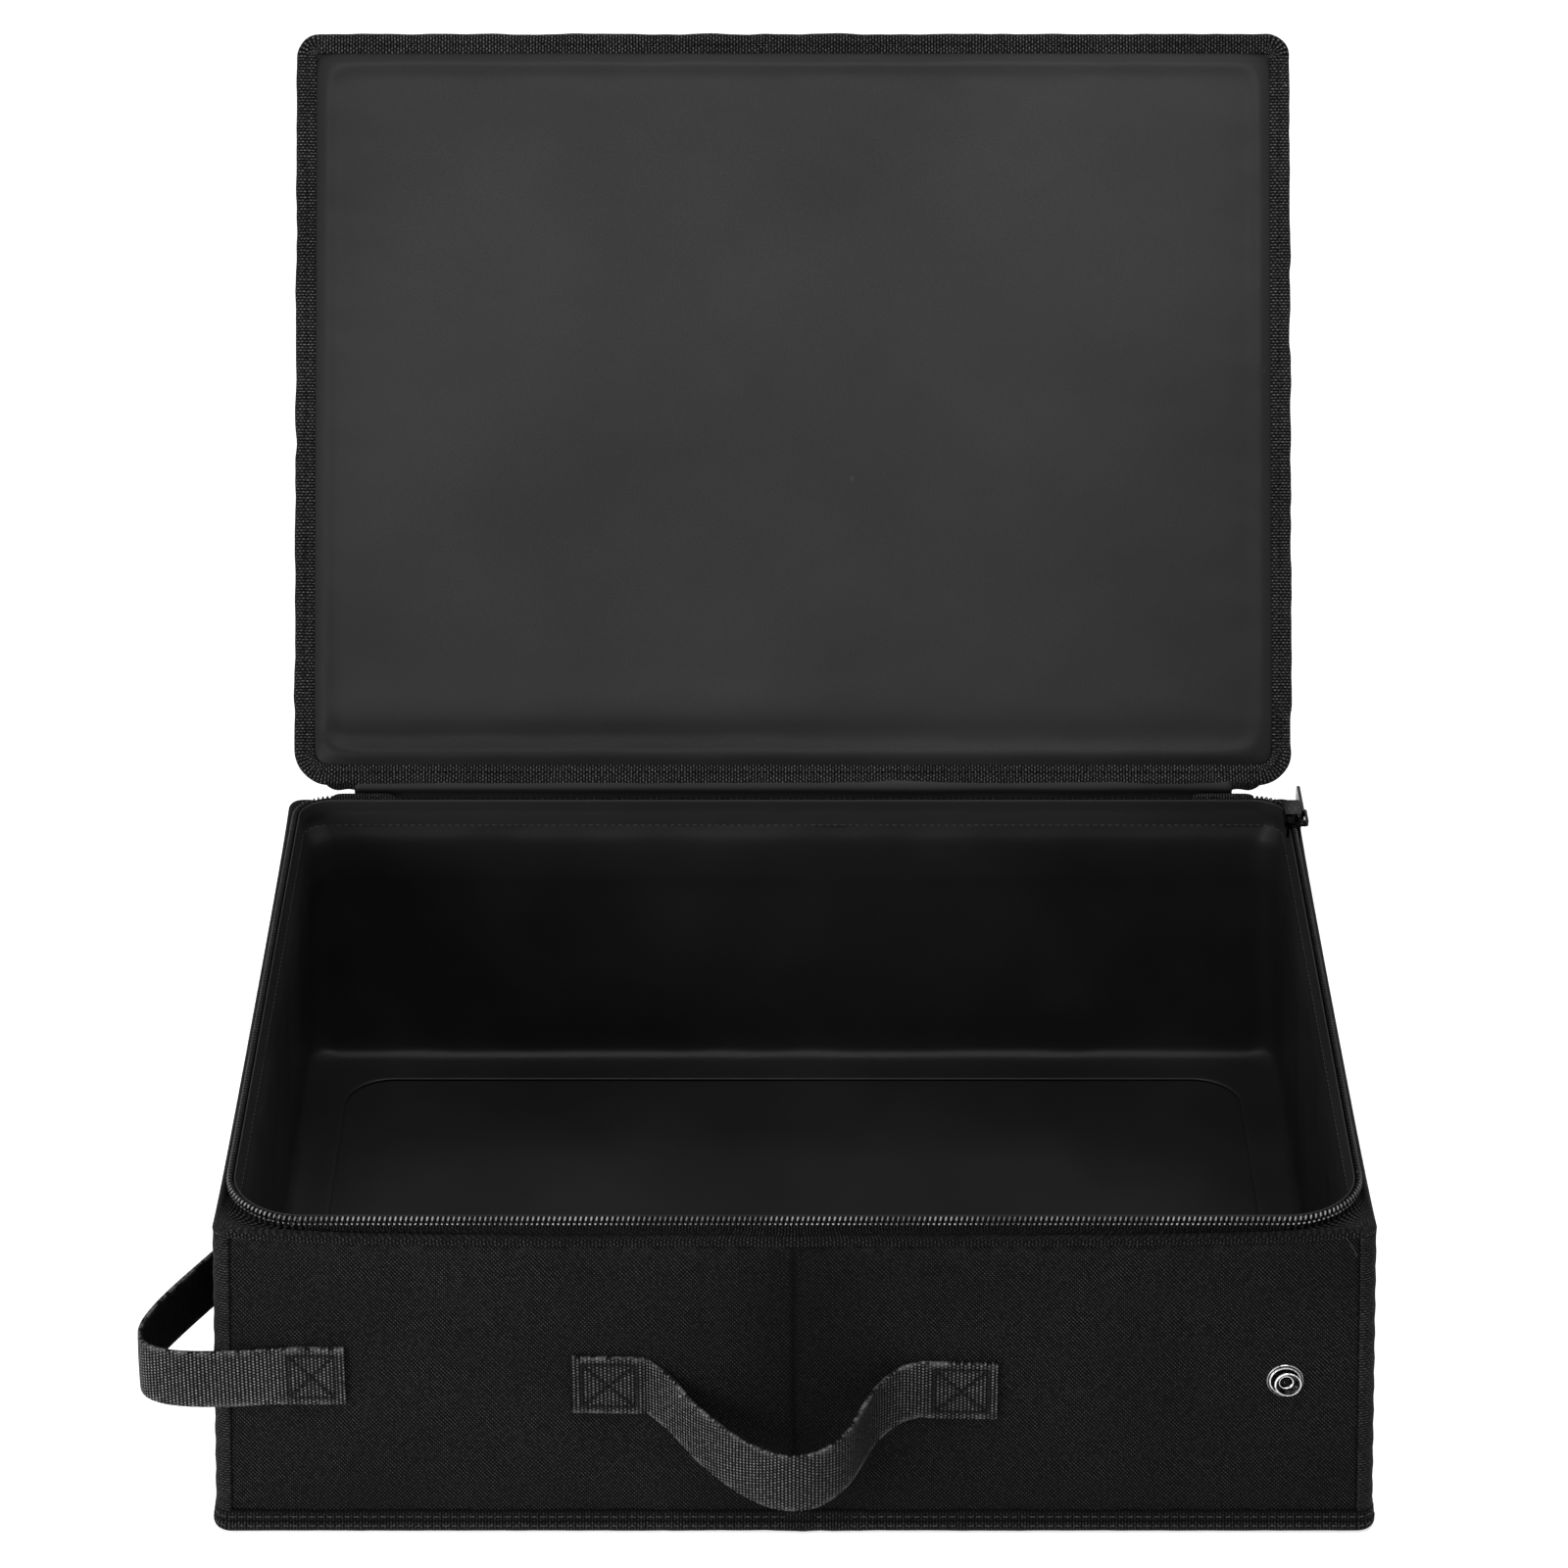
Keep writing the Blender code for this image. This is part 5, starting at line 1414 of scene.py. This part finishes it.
class LitterBoxView(bpy.types.PropertyGroup):
    """The stage, the lamps and the camera."""

    lens: number_of("Lens", 111.27, "Focal length of the camera", unit="CAMERA")
    pitch: number_of("Pitch", math.radians(28.907), "How far the camera looks down", unit="ROTATION")
    camera_place: FloatVectorProperty(
        name="Camera", description="Where the camera stands",
        default=(-0.0037, -1.5611, 1.0819), size=3, unit="LENGTH",
    )
    sky: number_of("Sky", 0.40, "Strength of the sky's light on the object", min=0.0)
    key: number_of("Key lamp", 9.0, "Power of the key lamp", unit="POWER")
    fill: number_of("Fill lamp", 5.0, "Power of the fill lamp", unit="POWER")
    back: number_of("Back lamp", 12.0, "Power of the lamp behind", unit="POWER")
    floor_colour: colour_of("Floor", (0.93, 0.93, 0.93), "Colour of the floor and the backdrop")
    floor_glow: number_of(
        "Floor glow", 0.6, "White added where the floor is seen, so that only the shadow is grey",
        min=0.0, max=1.0,
    )


# Operators, one for each group of pieces.


class BuildWalls(bpy.types.Operator):
    """Builds the four wall cloths, the corner bindings, the base band and the bottom cloth"""

    bl_idname = "litter_box.walls"
    bl_label = "Walls and bindings"

    def execute(self, context):
        sizes = context.scene.litter_box_sizes
        for side in ("front", "back", "left", "right"):
            build_wall(side, sizes)
        for front, sign_y in (("front", -1), ("back", 1)):
            for hand, sign_x in (("left", -1), ("right", 1)):
                build_corner(sign_x, sign_y, f"{front}_{hand}")
        build_base_band(sizes)
        build_bottom()
        return {"FINISHED"}


class BuildRim(bpy.types.Operator):
    """Builds the rim's cloth, both zip coils, the end tabs and a loose thread"""

    bl_idname = "litter_box.rim"
    bl_label = "Rim and zip"

    def execute(self, context):
        sizes = context.scene.litter_box_sizes
        build_rim()
        build_coil("box", sizes)
        build_coil("lid", sizes)
        build_tabs()
        build_loose_thread()
        return {"FINISHED"}


class BuildLiner(bpy.types.Operator):
    """Builds the liner's side cloth and floor cloth"""

    bl_idname = "litter_box.liner"
    bl_label = "Liner"

    def execute(self, context):
        build_liner(context.scene.litter_box_sizes)
        return {"FINISHED"}


class BuildLid(bpy.types.Operator):
    """Builds the lid's border, padded lining, cover, binding and fabric hinge"""

    bl_idname = "litter_box.lid"
    bl_label = "Lid"

    def execute(self, context):
        sizes = context.scene.litter_box_sizes
        build_lid_border()
        build_lid_lining(sizes)
        build_lid_outside()
        build_hinge()
        return {"FINISHED"}


class BuildWebbing(bpy.types.Operator):
    """Builds the front handle and the corner strap with their stitching"""

    bl_idname = "litter_box.webbing"
    bl_label = "Webbing"

    def execute(self, context):
        sizes = context.scene.litter_box_sizes
        build_handle(sizes)
        build_strap(sizes)
        return {"FINISHED"}


class BuildFasteners(bpy.types.Operator):
    """Builds the snap and gives the boards, the rivet, the slider and the pull their finishes"""

    bl_idname = "litter_box.fasteners"
    bl_label = "Fasteners and boards"

    def execute(self, context):
        build_snap()
        finish_nodes()
        return {"FINISHED"}


class BuildStage(bpy.types.Operator):
    """Builds the floor, the lamps, the sky and the camera"""

    bl_idname = "litter_box.stage"
    bl_label = "Stage"

    def execute(self, context):
        build_stage(context.scene.litter_box_view)
        return {"FINISHED"}


class LitterBoxPanel(bpy.types.Panel):
    """Lists the sizes, the colours and the operators"""

    bl_idname = "VIEW3D_PT_litter_box"
    bl_label = "Litter Box"
    bl_space_type = "VIEW_3D"
    bl_region_type = "UI"
    bl_category = "Litter Box"

    def draw(self, context):
        for group in ("litter_box_sizes", "litter_box_colours", "litter_box_view"):
            holder = getattr(context.scene, group)
            for key in holder.__annotations__:
                self.layout.prop(holder, key)
        for operator in OPERATORS:
            self.layout.operator(operator.bl_idname)


OPERATORS = (BuildWalls, BuildRim, BuildLiner, BuildLid, BuildWebbing, BuildFasteners, BuildStage)
GROUPS = {
    "litter_box_sizes": LitterBoxSizes,
    "litter_box_colours": LitterBoxColours,
    "litter_box_view": LitterBoxView,
}


def register():
    for item in (*GROUPS.values(), *OPERATORS, LitterBoxPanel):
        bpy.utils.register_class(item)
    for name, group in GROUPS.items():
        setattr(bpy.types.Scene, name, PointerProperty(type=group))


def unregister():
    for name in GROUPS:
        delattr(bpy.types.Scene, name)
    for item in reversed((*GROUPS.values(), *OPERATORS, LitterBoxPanel)):
        bpy.utils.unregister_class(item)


def main():
    register()
    bpy.ops.litter_box.walls()
    bpy.ops.litter_box.rim()
    bpy.ops.litter_box.liner()
    bpy.ops.litter_box.lid()
    bpy.ops.litter_box.webbing()
    bpy.ops.litter_box.fasteners()
    bpy.ops.litter_box.stage()


if __name__ == "__main__":
    main()
